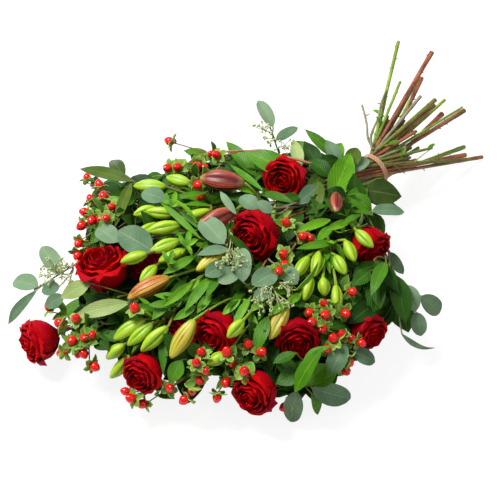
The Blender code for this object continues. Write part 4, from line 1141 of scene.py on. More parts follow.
def layBud(piece, look, base, span, fat, draw):
    x, y, z = templates["bud"]["points"].T
    turn = np.arctan2(y, x)
    t = np.arccos(np.clip(-z, -1, 1)) / np.pi
    base, span = asArray(base), asArray(span)
    heading = unit(span)
    side = unit(np.cross(heading, np.array((0.3, 0.2, 1.0))))
    up = np.cross(side, heading)
    # Three ribs round the bud, with sharp grooves between them
    ribs = np.cos(3 * (turn + draw * 6.28))
    carved = budValues["rib"] * ribs - budValues["groove"] * np.maximum(0, -ribs) ** 6
    full = np.sin(np.pi * np.clip(t, 0, 1)) ** 0.5
    reach = fat * budValues["full"] * np.interp(t, *budOutline) * (1 + full * carved)
    reach = np.where(np.hypot(x, y) > 1e-6, reach, 0)
    bend = np.sin(np.pi * t) * budValues["bend"] * np.linalg.norm(span) * (draw - 0.4)
    middle = base + span * t[:, None] + up * bend[:, None]
    points = middle + side * (np.sin(turn) * reach)[:, None] + up * (np.cos(turn) * reach)[:, None]
    # The ribs also go to the material as across, for painted light on the ribs and painted shade in the
    # grooves
    addChunk(piece, look, templates["bud"], points, ribs, t, draw)


# Berries with their sepals

berryValues = dict(radius=0.0064, length=0.0074, seat=0.0088, sepal=0.0125, sepalWidth=0.0048,
                   stalk=(0.0010, 0.0009, 0.0011), leafLengths=(0.016, 0.030), leafWidths=(0.0045, 0.0075))


def layBerry(piece, base, heading, draw, rng):
    x, y, z = templates["berry"]["points"].T
    base, heading = asArray(base), asArray(heading)
    side = unit(np.cross(heading, np.array((0.31, 0.17, 0.9))))
    up = np.cross(heading, side)
    size = 0.90 + 0.18 * draw
    t = (z + 1) / 2
    radius = berryValues["radius"] * size
    pinch = 1 - 0.20 * np.clip(t - 0.55, 0, 1) ** 2 * 4
    length = berryValues["length"] * size * (1 + 0.10 * np.clip(t - 0.8, 0, 1) * 5)
    points = (base + heading * berryValues["seat"] + side * (x * radius * pinch)[:, None]
              + up * (y * radius * pinch)[:, None] + heading * (z * length)[:, None])
    addChunk(piece, "berry", templates["berry"], points, x, t, draw)
    start = rng.uniform(0, 6.28)
    for index in range(5):
        turn = start + index * 2 * np.pi / 5 + rng.uniform(-0.2, 0.2)
        out = side * np.cos(turn) + up * np.sin(turn)
        tip = out + heading * rng.uniform(-0.25, 0.2)
        foot = base + heading * 0.0022 + out * 0.0012
        span = unit(tip) * berryValues["sepal"] * rng.uniform(0.85, 1.15) * size
        normal = unit(heading - unit(span) * heading.dot(unit(span)))
        layLeaf(piece, "berrySepal", foot, span, normal, 0.0012, berryValues["sepalWidth"] * size, "round",
                rng.random(), "sepal")


# Roses

petalValues = dict(thick=0.0007, ruffle=0.0008, overlap=0.0012, sideDrop=0.0038)

# Rings of petals from the middle out: count, widest radius, rim radius, top, half turn, lip outwards and down
petalRings = (
    (1, 0.0036, 0.0024, 0.0250, 2.80, 0.0000, 0.0000),
    (2, 0.0064, 0.0048, 0.0260, 1.90, 0.0002, 0.0002),
    (3, 0.0102, 0.0082, 0.0270, 1.35, 0.0006, 0.0006),
    (3, 0.0148, 0.0128, 0.0277, 1.28, 0.0012, 0.0010),
    (4, 0.0198, 0.0180, 0.0274, 1.04, 0.0024, 0.0020),
    (5, 0.0246, 0.0238, 0.0250, 0.90, 0.0038, 0.0040),
    (5, 0.0282, 0.0286, 0.0204, 0.86, 0.0056, 0.0068),
)


def petalSurface(u, v, ring, turn, draw, stretch):
    # Points of a petal: u across from -1 to 1, v from its foot to its rim
    count, belly, rim, topZ, half, lipOut, lipDown = ring
    share = belly / petalRings[-1][1]
    foot = 0.0012 + 0.0040 * share
    footZ = -0.0170 - 0.0100 * share
    topZ = topZ * stretch
    grow = np.sin(np.pi / 2 * np.minimum(1, v / 0.52)) ** 0.85
    past = np.clip((v - 0.55) / 0.45, 0, 1)
    lip = np.clip((v - 0.80) / 0.20, 0, 1) ** 2
    side = np.clip((np.abs(u) - 0.70) / 0.30, 0, 1) ** 2
    radius = foot + (belly - foot) * grow + (rim - belly) * past**1.5
    radius = radius + lip * lipOut + side * v**2 * lipOut * 0.2 + u * petalValues["overlap"] * (0.5 + share)
    radius = radius + np.sin(4 * u + 9 * draw + 3 * v) * v**3 * petalValues["ruffle"] * (0.2 + share)
    z = footZ + (topZ - footZ) * (1 - (1 - v) ** 1.25) - lip * lipDown
    z = z - np.abs(u) ** 2.4 * v**2 * petalValues["sideDrop"] * (0.4 + 0.8 * share)
    z = z + np.sin(5 * u + 7 * draw) * v**4 * 0.0008
    wide = 0.42 + 0.58 * np.sin(np.pi / 2 * np.minimum(1, v / 0.5))
    wide = wide * np.sqrt(1 - 0.86 * np.clip((v - 0.58) / 0.42, 0, 1) ** 2.2)
    angle = turn + u * half * wide
    return np.stack([np.cos(angle) * radius, np.sin(angle) * radius, z], axis=-1)


def layPetal(piece, plan, ring, turn, draw, stretch):
    shape = (ring, turn, draw, stretch)
    template = templates["petal"]
    u, v, z = template["points"].T
    v = np.clip((v + 1) / 2, 0, 1) ** 0.75
    tiny = 0.001
    across = petalSurface(u + tiny, v, *shape) - petalSurface(u - tiny, v, *shape)
    higher, lower = np.minimum(v + tiny, 1), np.maximum(v - tiny, 0)
    along = petalSurface(u, higher, *shape) - petalSurface(u, lower, *shape)
    normal = unit(np.cross(across, along))
    points = petalSurface(u, v, *shape) + normal * (z * petalValues["thick"] / 2)[:, None]
    turned = np.array(plan["axis"].to_track_quat("Z", "Y").to_matrix())
    points = asArray(plan["middle"]) + (points * plan["size"]) @ turned.T
    # side 1 is the petal's inner face
    addChunk(piece, "rosePetal", template, points, u, v, draw, z < 0)


def layBloom(piece, plan):
    rng = random.Random(f"petals {plan['number']}")
    twist = rng.uniform(0, 6.28)
    for order, ring in enumerate(petalRings):
        twist += rng.uniform(0.5, 0.9)
        inner = 1 - order / (len(petalRings) - 1)
        for index in range(ring[0]):
            turn = twist + index * 2 * math.pi / ring[0] + rng.uniform(-0.08, 0.08)
            layPetal(piece, plan, ring, turn, 0.6 * rng.random() + 0.4 * inner, rng.uniform(0.93, 1.03))


calyxValues = dict(radius=0.0056, height=0.0048, sunk=0.0034, sepalLength=0.026, sepalWidth=0.0042)


def layCalyx(piece, plan):
    size = plan["size"]
    seat, axis, side, up = [asArray(plan[key]) for key in ("seat", "axis", "side", "up")]
    ball = templates["berry"]["points"]
    sideways = (side * ball[:, :1] + up * ball[:, 1:2]) * (calyxValues["radius"] * size)
    points = seat - axis * (calyxValues["sunk"] * size) + sideways
    points = points + axis * (ball[:, 2:] * calyxValues["height"] * size)
    addChunk(piece, "sepalGreen", templates["berry"], points, ball[:, 0], (ball[:, 2] + 1) / 2, 0.3)
    rng = random.Random("sepals " + piece)
    for index in range(5):
        turn = 2 * math.pi * (index + 0.5) / 5
        out = side * math.cos(turn) + up * math.sin(turn)
        bend = rng.uniform(0.1, 1.1)
        span = unit(out - axis * bend * 0.8) * calyxValues["sepalLength"] * size * rng.uniform(0.8, 1.1)
        layLeaf(piece, "sepalGreen", seat - axis * 0.003 * size + out * 0.003, span, unit(axis + out * 0.2),
                0.001, calyxValues["sepalWidth"], "lance", rng.random(), "sepal")


# The whole bunch

barkFor = dict(zip(growBouquet(), cutBarks))
for number, picks in moreBerries.items():
    for index, pick in enumerate(picks):
        placeBerry(f"hypericum_{number}", f"more berry {index}", pick, 60)
for number, buds in moreBuds.items():
    for index, picks in enumerate(buds):
        placeBud(f"lily_{number}", f"more bud {index}", *picks, 19, 60)
for owner, leaves in moreLeaves.items():
    for index, (base, tip, width, *shape) in enumerate(leaves):
        placeLeaf(owner, f"more leaf {index}", base, tip, width, *(shape or ["lance"]), 0.008, 60)
for owner, leaves in coverLeaves.items():
    for index, (base, tip, width, *shapeAndLook) in enumerate(leaves):
        rng = random.Random(f"{owner} cover {index}")
        start, end = onDome(base), onDome(tip)
        root = nearOn(owner, start, 0.01)[0]
        span = end - start
        normal = squareTo(span.normalized(), (facing(0, 0.25, 1) + anyWay(rng, 0.3)).normalized())
        stalkPoints = [root, root.lerp(start, 0.6) + anyWay(rng, 0.003), start]
        shape, look = shapeAndLook or ("lance", "lilyLeaf")
        arch = rng.uniform(0.002, 0.006)
        plans[owner, f"cover {index}"] = dict(stalk=stalkPoints, span=span, normal=normal, look=look,
                                              shape=shape, arch=arch, width=width * halfMm)
print("Layout ready,", len(plans), "parts, no room for", dropped)

# The bark of a family's stems, the bark of its stalks and the look of its leaves
familyLooks = {"rose": ("roseBark", "greenBark", "roseLeaf"), "lily": ("lilyBark", "lilyBark", "lilyLeaf"),
               "hypericum": ("twigBark", "twigBark", "hypericumLeaf"),
               "eucalyptus": ("greyBark", "greyBark", "silverLeaf"),
               "leafy": ("greenBark", "greenBark", "glossyLeaf")}
ownLooks = {}
for look, labels in (("salalLeaf", "1 leaf 0, 2 leaf 2, 5 leaf 0"), ("paleLeaf", "6 leaf 0, 6 leaf 1"),
                     ("oliveLeaf", "3 leaf 0, 7 leaf 0, 7 leaf 1, 7 leaf 2"),
                     ("shadeLeaf", "4 leaf 0, 4 leaf 1, 4 leaf 2, 4 leaf 3, 4 more leaf 0")):
    for label in labels.split(", "):
        ownLooks["leafy_green_" + label] = look
ownWidths = {"leafy_green_4 leaf 0": 0.8, "leafy_green_7 leaf 1": 0.75, "leafy_green_7 leaf 0": 0.85}


def layBudPart(owner, plan, bark, stalkPoints, rng, draw):
    base, span = stalkPoints[-1], plan["span"]
    if owner in ("lily_1", "lily_2", "lily_3"):
        bark = "oliveBark"
    layRod(owner, bark, stalkPoints + [base + span * 0.03], budValues["stalk"], 8, 3, draw)
    layBud(owner, ripeTips.get(tuple(plan["pick"][:2]), "budLime"), base, span, plan["fat"], draw)
    for index in range(2):
        root = stalkPoints[0].lerp(stalkPoints[1], rng.uniform(0.2, 1.0))
        way = span.normalized() * rng.uniform(0.3, 0.9) + anyWay(rng, 0.6) + Vector((0, 0, 0.25))
        way = way.normalized()
        normal = squareTo(way, tilted(rng, 0.4))
        layLeaf(owner, "lilyLeaf", root, way * rng.uniform(*budValues["leafLengths"]), normal, 0.003,
                budValues["leafWidth"], "lance", rng.random(), "smallLeaf")


def layBerryPart(owner, plan, bark, stalkPoints, rng, draw):
    base, heading = stalkPoints[-1], plan["heading"]
    layRod(owner, bark, stalkPoints + [base + heading * 0.003], berryValues["stalk"], 6, 4, draw)
    layBerry(owner, base, heading, draw, rng)
    if rng.random() < 0.7:
        root = stalkPoints[0].lerp(base, rng.uniform(0.35, 0.8))
        for sign in (-1, 1):
            way = (heading * 0.5 + anyWay(rng, 0.9) * sign + Vector((0, 0, 0.3))).normalized()
            normal = squareTo(way, tilted(rng, 0.4))
            span = way * rng.uniform(*berryValues["leafLengths"])
            layLeaf(owner, "hypericumLeaf", root, span, normal, 0.001,
                    rng.uniform(*berryValues["leafWidths"]), "oval", rng.random(), "smallLeaf")


def layLeafPart(owner, label, plan, bark, look, stalkPoints, draw):
    base, span, normal, shape = stalkPoints[-1], plan["span"], plan["normal"], plan["shape"]
    flat = "flat" in plan
    if flat:
        base = Vector((base.x, base.y, leafValues["restingAt"]))
        span = Vector((span.x, span.y, 0.001))
        stalkPoints = stalkPoints[:-1] + [base + Vector((0, 0, 0.0012))]
    layRod(owner, bark, stalkPoints + [base + span * 0.05], leafValues["stalk"], 6, 3, draw)
    if shape == "round":
        look = "silverLeaf"
    look = plan.get("look", ownLooks.get(f"{owner} {label}", look))
    width = plan["width"] * ownWidths.get(f"{owner} {label}", 1)
    if owner.startswith("eucalyptus"):
        # The silver leaves turn a little towards the light
        lit = (normal + facing(-0.3, 0.6, 1) * leafValues["turnToLight"]).normalized()
        normal = squareTo(span.normalized(), lit)
    template = "broadLeaf" if width > leafValues["broadFrom"] else "leaf"
    layLeaf(owner, look, base, span, normal, plan["arch"], width, shape, draw, template, flat)


for (owner, label), plan in plans.items():
    rng = random.Random(f"{owner} {label} fine")
    draw = rng.random()
    stemBark, bark, look = familyLooks[owner.split("_")[0]]
    if label == "bloom":
        layBloom(owner, plan)
    elif label == "stem":
        layStem(owner, barkFor.get(owner, stemBark), plan, draw)
    elif label == "calyx":
        layCalyx(owner, plan)
    elif "bud" in label:
        layBudPart(owner, plan, bark, plan["stalk"], rng, draw)
    elif "berry" in label:
        layBerryPart(owner, plan, bark, plan["stalk"], rng, draw)
    else:
        layLeafPart(owner, label, plan, bark, look, plan["stalk"], draw)
for owner, picks in bentTwigs:
    rng = random.Random(f"{owner} {picks[-1]}")
    path = [onDome(pick) for pick in picks]
    layRod(owner, "greyBark", path, (0.0022, 0.0019, 0.0016, 0.0018, 0.0015), 7, 4, rng.random(), 0.2)
    for spot in path[1:4]:
        layRod(owner, "greyBark", [spot, spot + anyWay(rng, 0.006)], (0.0014, 0.0005), 5, 2, 0.4)
print("Blooms, stems, buds, berries and leaves ready")


# Leaves that fill the bunch between the stems

fillValues = dict(attempts=1300, shallowest=0.16, deepest=0.82, stalk=0.075, lowest=0.001, tries=8,
                  stalkRadii=(0.0011, 0.0010, 0.0009, 0.0006))
# A last layer of broad leaves low in the bunch, on ever longer stalks
floorValues = dict(depth=(0.72, 0.86), step=10, stalks=(0.5, 0.75, 1.0, 1.4), lengths=(0.042, 0.062),
                   widths=(0.012, 0.018), tries=6)

# The look, outline, lengths and half widths of the filling leaves on each family's stems
fillShapes = {"rose": ("roseLeaf", "rose", (0.040, 0.060), (0.011, 0.016)),
              "lily": ("lilyShadeLeaf", "lance", (0.050, 0.080), (0.0045, 0.0070)),
              "hypericum": ("roseLeaf", "oval", (0.032, 0.048), (0.007, 0.011)),
              "leafy": ("shadeLeaf", "oval", (0.050, 0.080), (0.013, 0.020))}

# The outline of the dense part of the bunch in the picture, where no table shows through
denseOutline = ((88, 182), (128, 182), (150, 178), (185, 168), (215, 160), (250, 156), (290, 156),
                (325, 154), (352, 160), (366, 176), (372, 196), (378, 214), (386, 234), (384, 252),
                (392, 272), (394, 300), (388, 322), (374, 344), (352, 352), (338, 372), (322, 398),
                (298, 402), (262, 398), (238, 392), (222, 376), (196, 372), (172, 376), (146, 386),
                (128, 374), (118, 352), (84, 346), (66, 330), (84, 308), (84, 268), (86, 236),
                (92, 214))


def isDense(point):
    column, row = toPicture(point)
    inside = False
    for (x1, y1), (x2, y2) in zip(denseOutline, denseOutline[1:] + denseOutline[:1]):
        if (y1 > row) != (y2 > row) and column < x1 + (row - y1) * (x2 - x1) / (y2 - y1):
            inside = not inside
    return inside


guards = [item for item in taken if item[0].startswith(("rose_bloom", "leafy_green_6", "eucalyptus"))]
grown = dict(points=np.empty((0, 3)), owners=[])


# Lets filling leaves grow from these points
def growFrom(owner, points):
    grown["points"] = np.concatenate([grown["points"], [asArray(point) for point in points]])
    grown["owners"] += [owner] * len(points)


for owner, path in stemPaths.items():
    if (owner, "stem") in plans and not owner.startswith("eucalyptus"):
        growFrom(owner, smoothPath(path[2:], [1] * (len(path) - 2), 6)[0])


# The stem or stalk nearest to a spot, where it is in reach: its owner and its point
def nearestStem(spot, reach):
    gaps = np.linalg.norm(grown["points"] - asArray(spot), axis=1)
    nearest = int(np.argmin(gaps))
    return (grown["owners"][nearest], Vector(grown["points"][nearest])) if gaps[nearest] <= reach else None


def isFree(base, span, wide, normal):
    points = [base, base + span * 0.3, base + span * 0.7, base + span]
    rough = blade(points, (0.002, wide, wide * 0.8, 0), normal, 0.2, thick=0.003)
    return isClear(None, [rough], others=guards, lowest=fillValues["lowest"])


# A filling leaf with its stalk, from which later leaves may grow too
def fillWith(owner, look, shape, base, span, wide, normal, root, draw, bend, arch, buds):
    middle = root.lerp(base, 0.5) + bend
    path = [root, middle, base, base + span * 0.05]
    layRod(owner, "greenBark", path, fillValues["stalkRadii"], 5, 3, draw)
    layLeaf(owner, look, base, span, normal, arch, wide, shape, draw, "smallLeaf")
    growFrom(owner, [middle, *buds])
    filled.append(owner)


filled = []
rng = random.Random("filling")
for attempt in range(fillValues["attempts"]):
    pick = (rng.uniform(60, 400), rng.uniform(150, 405))
    depth = rng.uniform(fillValues["shallowest"], fillValues["deepest"])
    spot = onDome(pick, onDome(pick).z * (1 - depth))
    found = spot.z >= 0.010 and isDense(spot) and nearestStem(spot, fillValues["stalk"])
    if not found:
        continue
    owner, root = found
    look, shape, lengths, widths = fillShapes[owner.split("_")[0]]
    outward = Vector((spot.x + 0.02, spot.y, 0)).normalized()
    base = root.lerp(spot, 0.75) if (spot - root).length < 0.05 else spot
    for turn in range(fillValues["tries"]):
        way = (outward * 0.6 + (spot - root) * 10 + anyWay(rng, 0.8) + Vector((0, 0, 0.15))).normalized()
        span = way * rng.uniform(*lengths)
        wide = rng.uniform(*widths)
        normal = (Vector((0, 0, 0.8)) + facing(0, 0.2, 1) * 0.5 + anyWay(rng, 0.45)).normalized()
        normal = squareTo(way, normal)
        end = base + span
        if 0.005 < end.z < domeHeight(end) and isDense(end) and isFree(base, span, wide, normal):
            fillWith(owner, look, shape, base, span, wide, normal, root, rng.random(), Vector((0, 0, -0.004)),
                     span.length * rng.uniform(0.03, 0.1), [base])
            break
waiting = []
for column in range(62, 402, floorValues["step"]):
    for row in range(150, 410, floorValues["step"]):
        pick = (column + rng.uniform(-4, 4), row + rng.uniform(-4, 4))
        spot = onDome(pick, onDome(pick).z * rng.uniform(*floorValues["depth"]))
        if spot.z > 0.008 and isDense(spot):
            waiting.append(spot)
for stalkShare in floorValues["stalks"]:
    rest = []
    for spot in waiting:
        found = nearestStem(spot, fillValues["stalk"] * stalkShare)
        if not found:
            rest.append(spot)
            continue
        owner, root = found
        for turn in range(floorValues["tries"]):
            way = (Vector((spot.x - root.x, spot.y - root.y, 0)) * 12 + anyWay(rng, 1)).normalized()
            way.z *= 0.3
            span = way * rng.uniform(*floorValues["lengths"])
            wide = rng.uniform(*floorValues["widths"])
            normal = squareTo(way.normalized(), tilted(rng, 0.3))
            base = spot - span * 0.4
            if isDense(base) and isDense(base + span) and isFree(base, span, wide, normal):
                fillWith(owner, "shadeLeaf", "oval", base, span, wide, normal, root, rng.random(),
                         anyWay(rng, 0.006), span.length * 0.05, [base, base + span * 0.5])
                break
    waiting = rest
print("Filling leaves", len(filled))


# Eucalyptus seed clusters

seedValues = dict(twigs=9, seedsEach=3, spread=0.013, together=0.0022, sizes=(0.0010, 0.0017),
                  stretch=(1, 1, 1.3))
seedClusters = {"eucalyptus_3": ((272, 138, 130), (262, 128, 136), (284, 146, 122)),
                "eucalyptus_4": ((232, 258), (238, 264), (224, 262)),
                "eucalyptus_5": ((262, 292), (272, 300), (284, 308), (258, 306), (290, 288)),
                "eucalyptus_1": ((44, 277), (67, 266), (52, 268), (60, 278))}
for owner, picks in seedClusters.items():
    for index, pick in enumerate(picks):
        rng = random.Random(f"{owner} seeds {index}")
        middle = onDome(pick, -0.004)
        root = nearOn(owner, middle, 0.02)[0]
        bent = root.lerp(middle, 0.5) + anyWay(rng, 0.006)
        layRod(owner, "seedStalk", [root, bent, middle], (0.0009, 0.0008, 0.0005), 5, 4, 0.5)
        for twig in range(seedValues["twigs"]):
            start = root.lerp(middle, rng.uniform(0.55, 1.0))
            tip = middle + anyWay(rng, seedValues["spread"])
            path = [start, start.lerp(tip, 0.5) + anyWay(rng, 0.001), tip]
            layRod(owner, "seedStalk", path, (0.0005, 0.0005, 0.0004), 4, 2, 0.5)
            for seed in range(seedValues["seedsEach"]):
                ball = templates["seed"]["points"]
                spot = asArray(tip + anyWay(rng, seedValues["together"]))
                points = spot + ball * rng.uniform(*seedValues["sizes"]) * np.array(seedValues["stretch"])
                addChunk(owner, "seedGreen", templates["seed"], points, ball[:, 0], (ball[:, 2] + 1) / 2,
                         rng.random())
print("Seeds ready")


# The tie: a helix of three turns of twisted twine, with a knot and two short ends

tieValues = dict(turns=3, twine=0.0011, pitch=7.5, stepsPerTurn=56, sides=8, plies=2, lay=0.012)


def layTwine(points, radius, draw):
    path = np.array(points)
    turns = np.linspace(0, 2 * np.pi, tieValues["sides"], endpoint=False)
    spin = walkedAlong(path)[:, None] * 2 * np.pi / tieValues["lay"]
    plies = np.cos(tieValues["plies"] * (turns[None, :] - spin))
    # The plies also go to the material as across, for painted light on their crests and painted shade between
    # them
    layRings("tie", "twine", path, turns, radius * (0.86 + 0.18 * plies), plies.reshape(-1), draw)


def layTie():
    reach = max(math.hypot(*slot) for slot in slots(len(stemPaths)))
    twine = tieValues["twine"]
    radius = reach * 1.012 + waistRadius + 0.0006 + twine * 0.95
    middle = Vector((0, 0, tieHeight))
    helix = []
    total = tieValues["turns"] * tieValues["stepsPerTurn"]
    for step in range(total + 1):
        share = step / total
        turn = 2 * math.pi * tieValues["turns"] * share
        out = fanOver * math.sin(turn) - fanAlong * math.cos(turn)
        slide = (share - 0.5) * tieValues["pitch"] * twine
        helix.append(tuple(middle + out * radius + Vector((slide, 0, 0))))
    layTwine(helix, twine, 0.2)
    knotAt = middle - fanAlong * (radius + twine * 0.9)
    loop = []
    for step in range(29):
        turn = 2 * math.pi * step / 28 * 1.6
        spot = knotAt + fanOver * (0.0030 * math.cos(turn)) + Vector((0.0034 * math.sin(turn), 0, 0))
        loop.append(tuple(spot - fanAlong * (0.0014 * math.sin(turn / 1.6) + 0.0006)))
    layTwine(loop, twine * 0.9, 0.5)
    for sign in (-1, 1):
        ends = [knotAt, knotAt - fanAlong * 0.004 + fanOver * (sign * 0.006),
                knotAt - fanAlong * 0.009 + fanOver * (sign * 0.012) + Vector((0.005 * sign, 0, -0.005))]
        layTwine(smoothPath(ends, (1, 1, 1), 8)[0], twine * 0.85, 0.8)


layTie()


# Materials. A node's output knows its own tree, so these add a node beside it and link it.

def feed(socket, value):
    if isinstance(value, bpy.types.NodeSocket):
        socket.id_data.links.new(value, socket)
    elif isinstance(value, tuple):
        socket.default_value = (*value, 1)
    else:
        socket.default_value = value


def addNode(tree, kind, inputs, **values):
    node = tree.nodes.new("ShaderNode" + kind)
    for key, value in values.items():
        setattr(node, key, value)
    for key, value in inputs.items():
        feed(node.inputs[key], value)
    return node


def calc(operation, first, second, clamp=False):
    owner = first if isinstance(first, bpy.types.NodeSocket) else second
    node = addNode(owner.id_data, "Math", {0: first}, operation=operation, use_clamp=clamp)
    if second is not None:
        feed(node.inputs[1], second)
    return node.outputs[0]


def times(first, second, clamp=False):
    return calc("MULTIPLY", first, second, clamp)


def plus(first, second, clamp=False):
    return calc("ADD", first, second, clamp)


def minus(first, second, clamp=False):
    return calc("SUBTRACT", first, second, clamp)


# How far a value is past a start, times a gain
def past(value, start, gain, clamp=False):
    return times(minus(value, start), gain, clamp)


# 1 where a value is 0, falling to 0 by this gain
def fading(value, gain):
    return minus(1.0, times(value, gain), True)


# Coats of colour over a first one, each with the share that it covers
def coated(colour, *coats):
    for share, coat in coats:
        mix = addNode(share.id_data, "Mix", {}, data_type="RGBA", blend_type="MIX")
        for index, value in ((0, share), (6, colour), (7, coat)):
            feed(mix.inputs[index], value)
        colour = mix.outputs[2]
    return colour


def noise(tree, scale, detail=2.0):
    where = addNode(tree, "TexCoord", {}).outputs["Object"]
    return addNode(tree, "TexNoise", {"Scale": scale, "Detail": detail, "Vector": where}).outputs["Fac"]


def streakVector(tree, *parts):
    return addNode(tree, "CombineXYZ", dict(enumerate(parts))).outputs[0]


materials = {}


# A new material's tree and shader, and the place and side that addChunk stored
def newMaterial(name, roughness, specular, coat=0.0, coatRoughness=0.03):
    material = materials[name] = bpy.data.materials.new(name)
    material.use_nodes = True
    tree = material.node_tree
    shader = tree.nodes["Principled BSDF"]
    for key, value in (("Roughness", roughness), ("Specular IOR Level", specular), ("Coat Weight", coat),
                       ("Coat Roughness", coatRoughness)):
        shader.inputs[key].default_value = value
    place = addNode(tree, "Attribute", {}, attribute_name="place").outputs["Vector"]
    side = addNode(tree, "Attribute", {}, attribute_name="side").outputs["Fac"]
    return (tree, shader, *addNode(tree, "SeparateXYZ", {0: place}).outputs, side)


# Puts a colour and a bump on a material's shader
def finish(shader, colour, height=None, strength=0.0, distance=0.0):
    feed(shader.inputs["Base Color"], colour)
    if height:
        bump = addNode(height.id_data, "Bump", {"Strength": strength, "Distance": distance, "Height": height})
        feed(shader.inputs["Normal"], bump.outputs[0])


def veinGroup():
    # Midrib and side veins from a leaf's own places
    group = bpy.data.node_groups.new("leafVeins", "ShaderNodeTree")
    for label in ("Across", "Along", "Count", "Slant"):
        group.interface.new_socket(label, in_out="INPUT", socket_type="NodeSocketFloat")
    for label in ("Vein", "Midrib", "Puff"):
        group.interface.new_socket(label, in_out="OUTPUT", socket_type="NodeSocketFloat")
    given = group.nodes.new("NodeGroupInput").outputs
    result = group.nodes.new("NodeGroupOutput").inputs
    away = calc("ABSOLUTE", given["Across"], None)
    slanted = times(away, given["Slant"])
    saw = calc("PINGPONG", times(minus(given["Along"], slanted), given["Count"]), 0.5)
    feed(result["Vein"], times(fading(saw, 9.0), fading(away, 0.75)))
    feed(result["Midrib"], fading(away, 14.0))
    feed(result["Puff"], times(saw, 2.0))
    return group


veins = veinGroup()


def leafMaterial(name, deep, bright, vein, under, roughness, count, slant, veinShare, puff, specular,
                 coat=0.0, edge=0.0):
    tree, shader, across, along, draw, side = newMaterial(name, roughness, specular, coat, 0.25)
    pattern = addNode(tree, "Group", {"Across": across, "Along": along, "Count": count, "Slant": slant},
                      node_tree=veins)
    share = plus(times(draw, 0.75), past(noise(tree, 55.0, 3.0), 0.4, 0.9), True)
    lines = calc("MAXIMUM", pattern.outputs["Midrib"], times(pattern.outputs["Vein"], 0.55))
    colour = coated(deep, (share, bright), (times(lines, veinShare), vein))
    if edge:
        away = calc("POWER", calc("ABSOLUTE", across, None), 4.0)
        colour = coated(colour, (times(away, edge), vein))
    colour = coated(colour, (times(minus(1.0, side), 0.8), under))
    finish(shader, colour, minus(times(pattern.outputs["Puff"], puff), lines), 0.5, 0.0006)


def barkMaterial(name, first, second, marks, roughness):
    tree, shader, across, along, draw, side = newMaterial(name, roughness, 0.35)
    patch = noise(tree, 140.0, 4.0)
    share = plus(times(draw, 0.5), past(noise(tree, 22.0, 1.0), 0.35, 1.6), True)
    vector = streakVector(tree, times(across, 2.6), times(along, 26.0), times(draw, 20.0))
    streak = addNode(tree, "TexNoise", {"Vector": vector, "Scale": 2.0}).outputs["Fac"]
    share = plus(share, past(streak, 0.5, 3.2), True)
    spots = past(patch, 0.58, 6.0, True)
    finish(shader, coated(first, (share, second), (times(spots, 0.5), marks)), patch, 0.4, 0.0005)


def petalMaterial(name):
    tree, shader, across, along, draw, side = newMaterial(name, 0.6, 0.05)
    fine = past(noise(tree, 180.0, 3.0), 0.5, 0.5)
    broad = times(noise(tree, 38.0, 1.0), 0.35)
    # Painted shade and light: each petal's red is deepest at its foot, deep in the bloom, and brightest
    # towards its rim; fine and broad noise vary it at random
    share = plus(plus(times(calc("POWER", along, 2.0), 0.55), fine), broad, True)
    # The outer petals have the lowest draws, and are the deepest red
    outer = times(times(minus(0.50, draw), 2.4, True), 0.75)
    back = times(minus(1.0, side), 0.5)
    rim = times(past(along, 0.95, 14.0, True), times(draw, 0.7))
    colour = coated((0.19, 0.0002, 0.0006), (share, (0.62, 0.0008, 0.0014)), (outer, (0.15, 0.0004, 0.010)),
                    (back, (0.36, 0.0006, 0.008)), (rim, (0.12, 0.0003, 0.003)))
    for key, value in (("Weight", 0.12), ("Roughness", 0.4), ("Tint", (1.0, 0.04, 0.06))):
        feed(shader.inputs["Sheen " + key], value)
    vector = streakVector(tree, across, times(along, 0.25), draw)
    streak = addNode(tree, "TexWave", {"Vector": vector, "Scale": 3.2, "Distortion": 3.0}, wave_type="BANDS",
                     bands_direction="X")
    finish(shader, colour, streak.outputs["Fac"], 0.35, 0.0005)


def budMaterial(name, main, ribLightAndPatch, groove, foot, tip, stripe=0.0, streaks=2.0):
    # across holds 1 on a bud's ribs and -1 in its grooves
    tree, shader, across, along, draw, side = newMaterial(name, 0.42, 0.45)
    patch = noise(tree, 90.0, 2.0)
    # Painted light: the ribs are lighter, mixed with random patches of the same colour
    share = plus(times(across, 0.35), times(patch, 0.7), True)
    vector = streakVector(tree, times(across, 7.0), times(along, 0.7), times(draw, 20.0))
    streak = addNode(tree, "TexNoise", {"Vector": vector, "Scale": 1.6, "Detail": 2.0}).outputs["Fac"]
    # Painted shade: the grooves between the ribs are darkened with the grooves' colour, which the streaks
    # above also use
    sunk = times(times(minus(-0.80, across), 6.0, True), 0.6)
    colour = coated(main, (share, ribLightAndPatch), (past(streak, 0.50, streaks, True), groove), (sunk, groove))
    if stripe:
        band = fading(calc("ABSOLUTE", minus(across, 0.1), None), 2.4)
        middle = fading(calc("ABSOLUTE", minus(along, 0.45), None), 2.1)
        colour = coated(colour, (times(times(band, middle), stripe, True), (0.30, 0.045, 0.018)))
    low = times(fading(along, 5.0), 0.8)
    end = times(past(along, 0.84, 6.0, True), 0.8)
    finish(shader, coated(colour, (low, foot), (end, tip)), patch, 0.3, 0.0006)


def berryMaterial(name):
    tree, shader, across, along, draw, side = newMaterial(name, 0.2, 0.4, 0.25, 0.08)
    patch = noise(tree, 120.0, 2.0)
    finish(shader, coated((0.78, 0.010, 0.004), (times(patch, 0.9, True), (0.50, 0.003, 0.003)),
                          (past(along, 0.965, 30.0, True), (0.06, 0.01, 0.006)),
                          (times(fading(along, 7.0), 0.6), (0.70, 0.12, 0.02))))
    feed(shader.inputs["Roughness"], plus(0.12, times(patch, 0.12)))


def twineMaterial(name):
    tree, shader, across, along, draw, side = newMaterial(name, 0.85, 0.2)
    fibre = noise(tree, 900.0, 4.0)
    # Painted light and shade: the twine is lighter on the crests of its plies and darker between them; fibre
    # noise varies it
    share = plus(times(across, 0.4), fibre, True)
    finish(shader, coated((0.34, 0.14, 0.07), (share, (0.74, 0.46, 0.30))), fibre, 0.7, 0.0004)


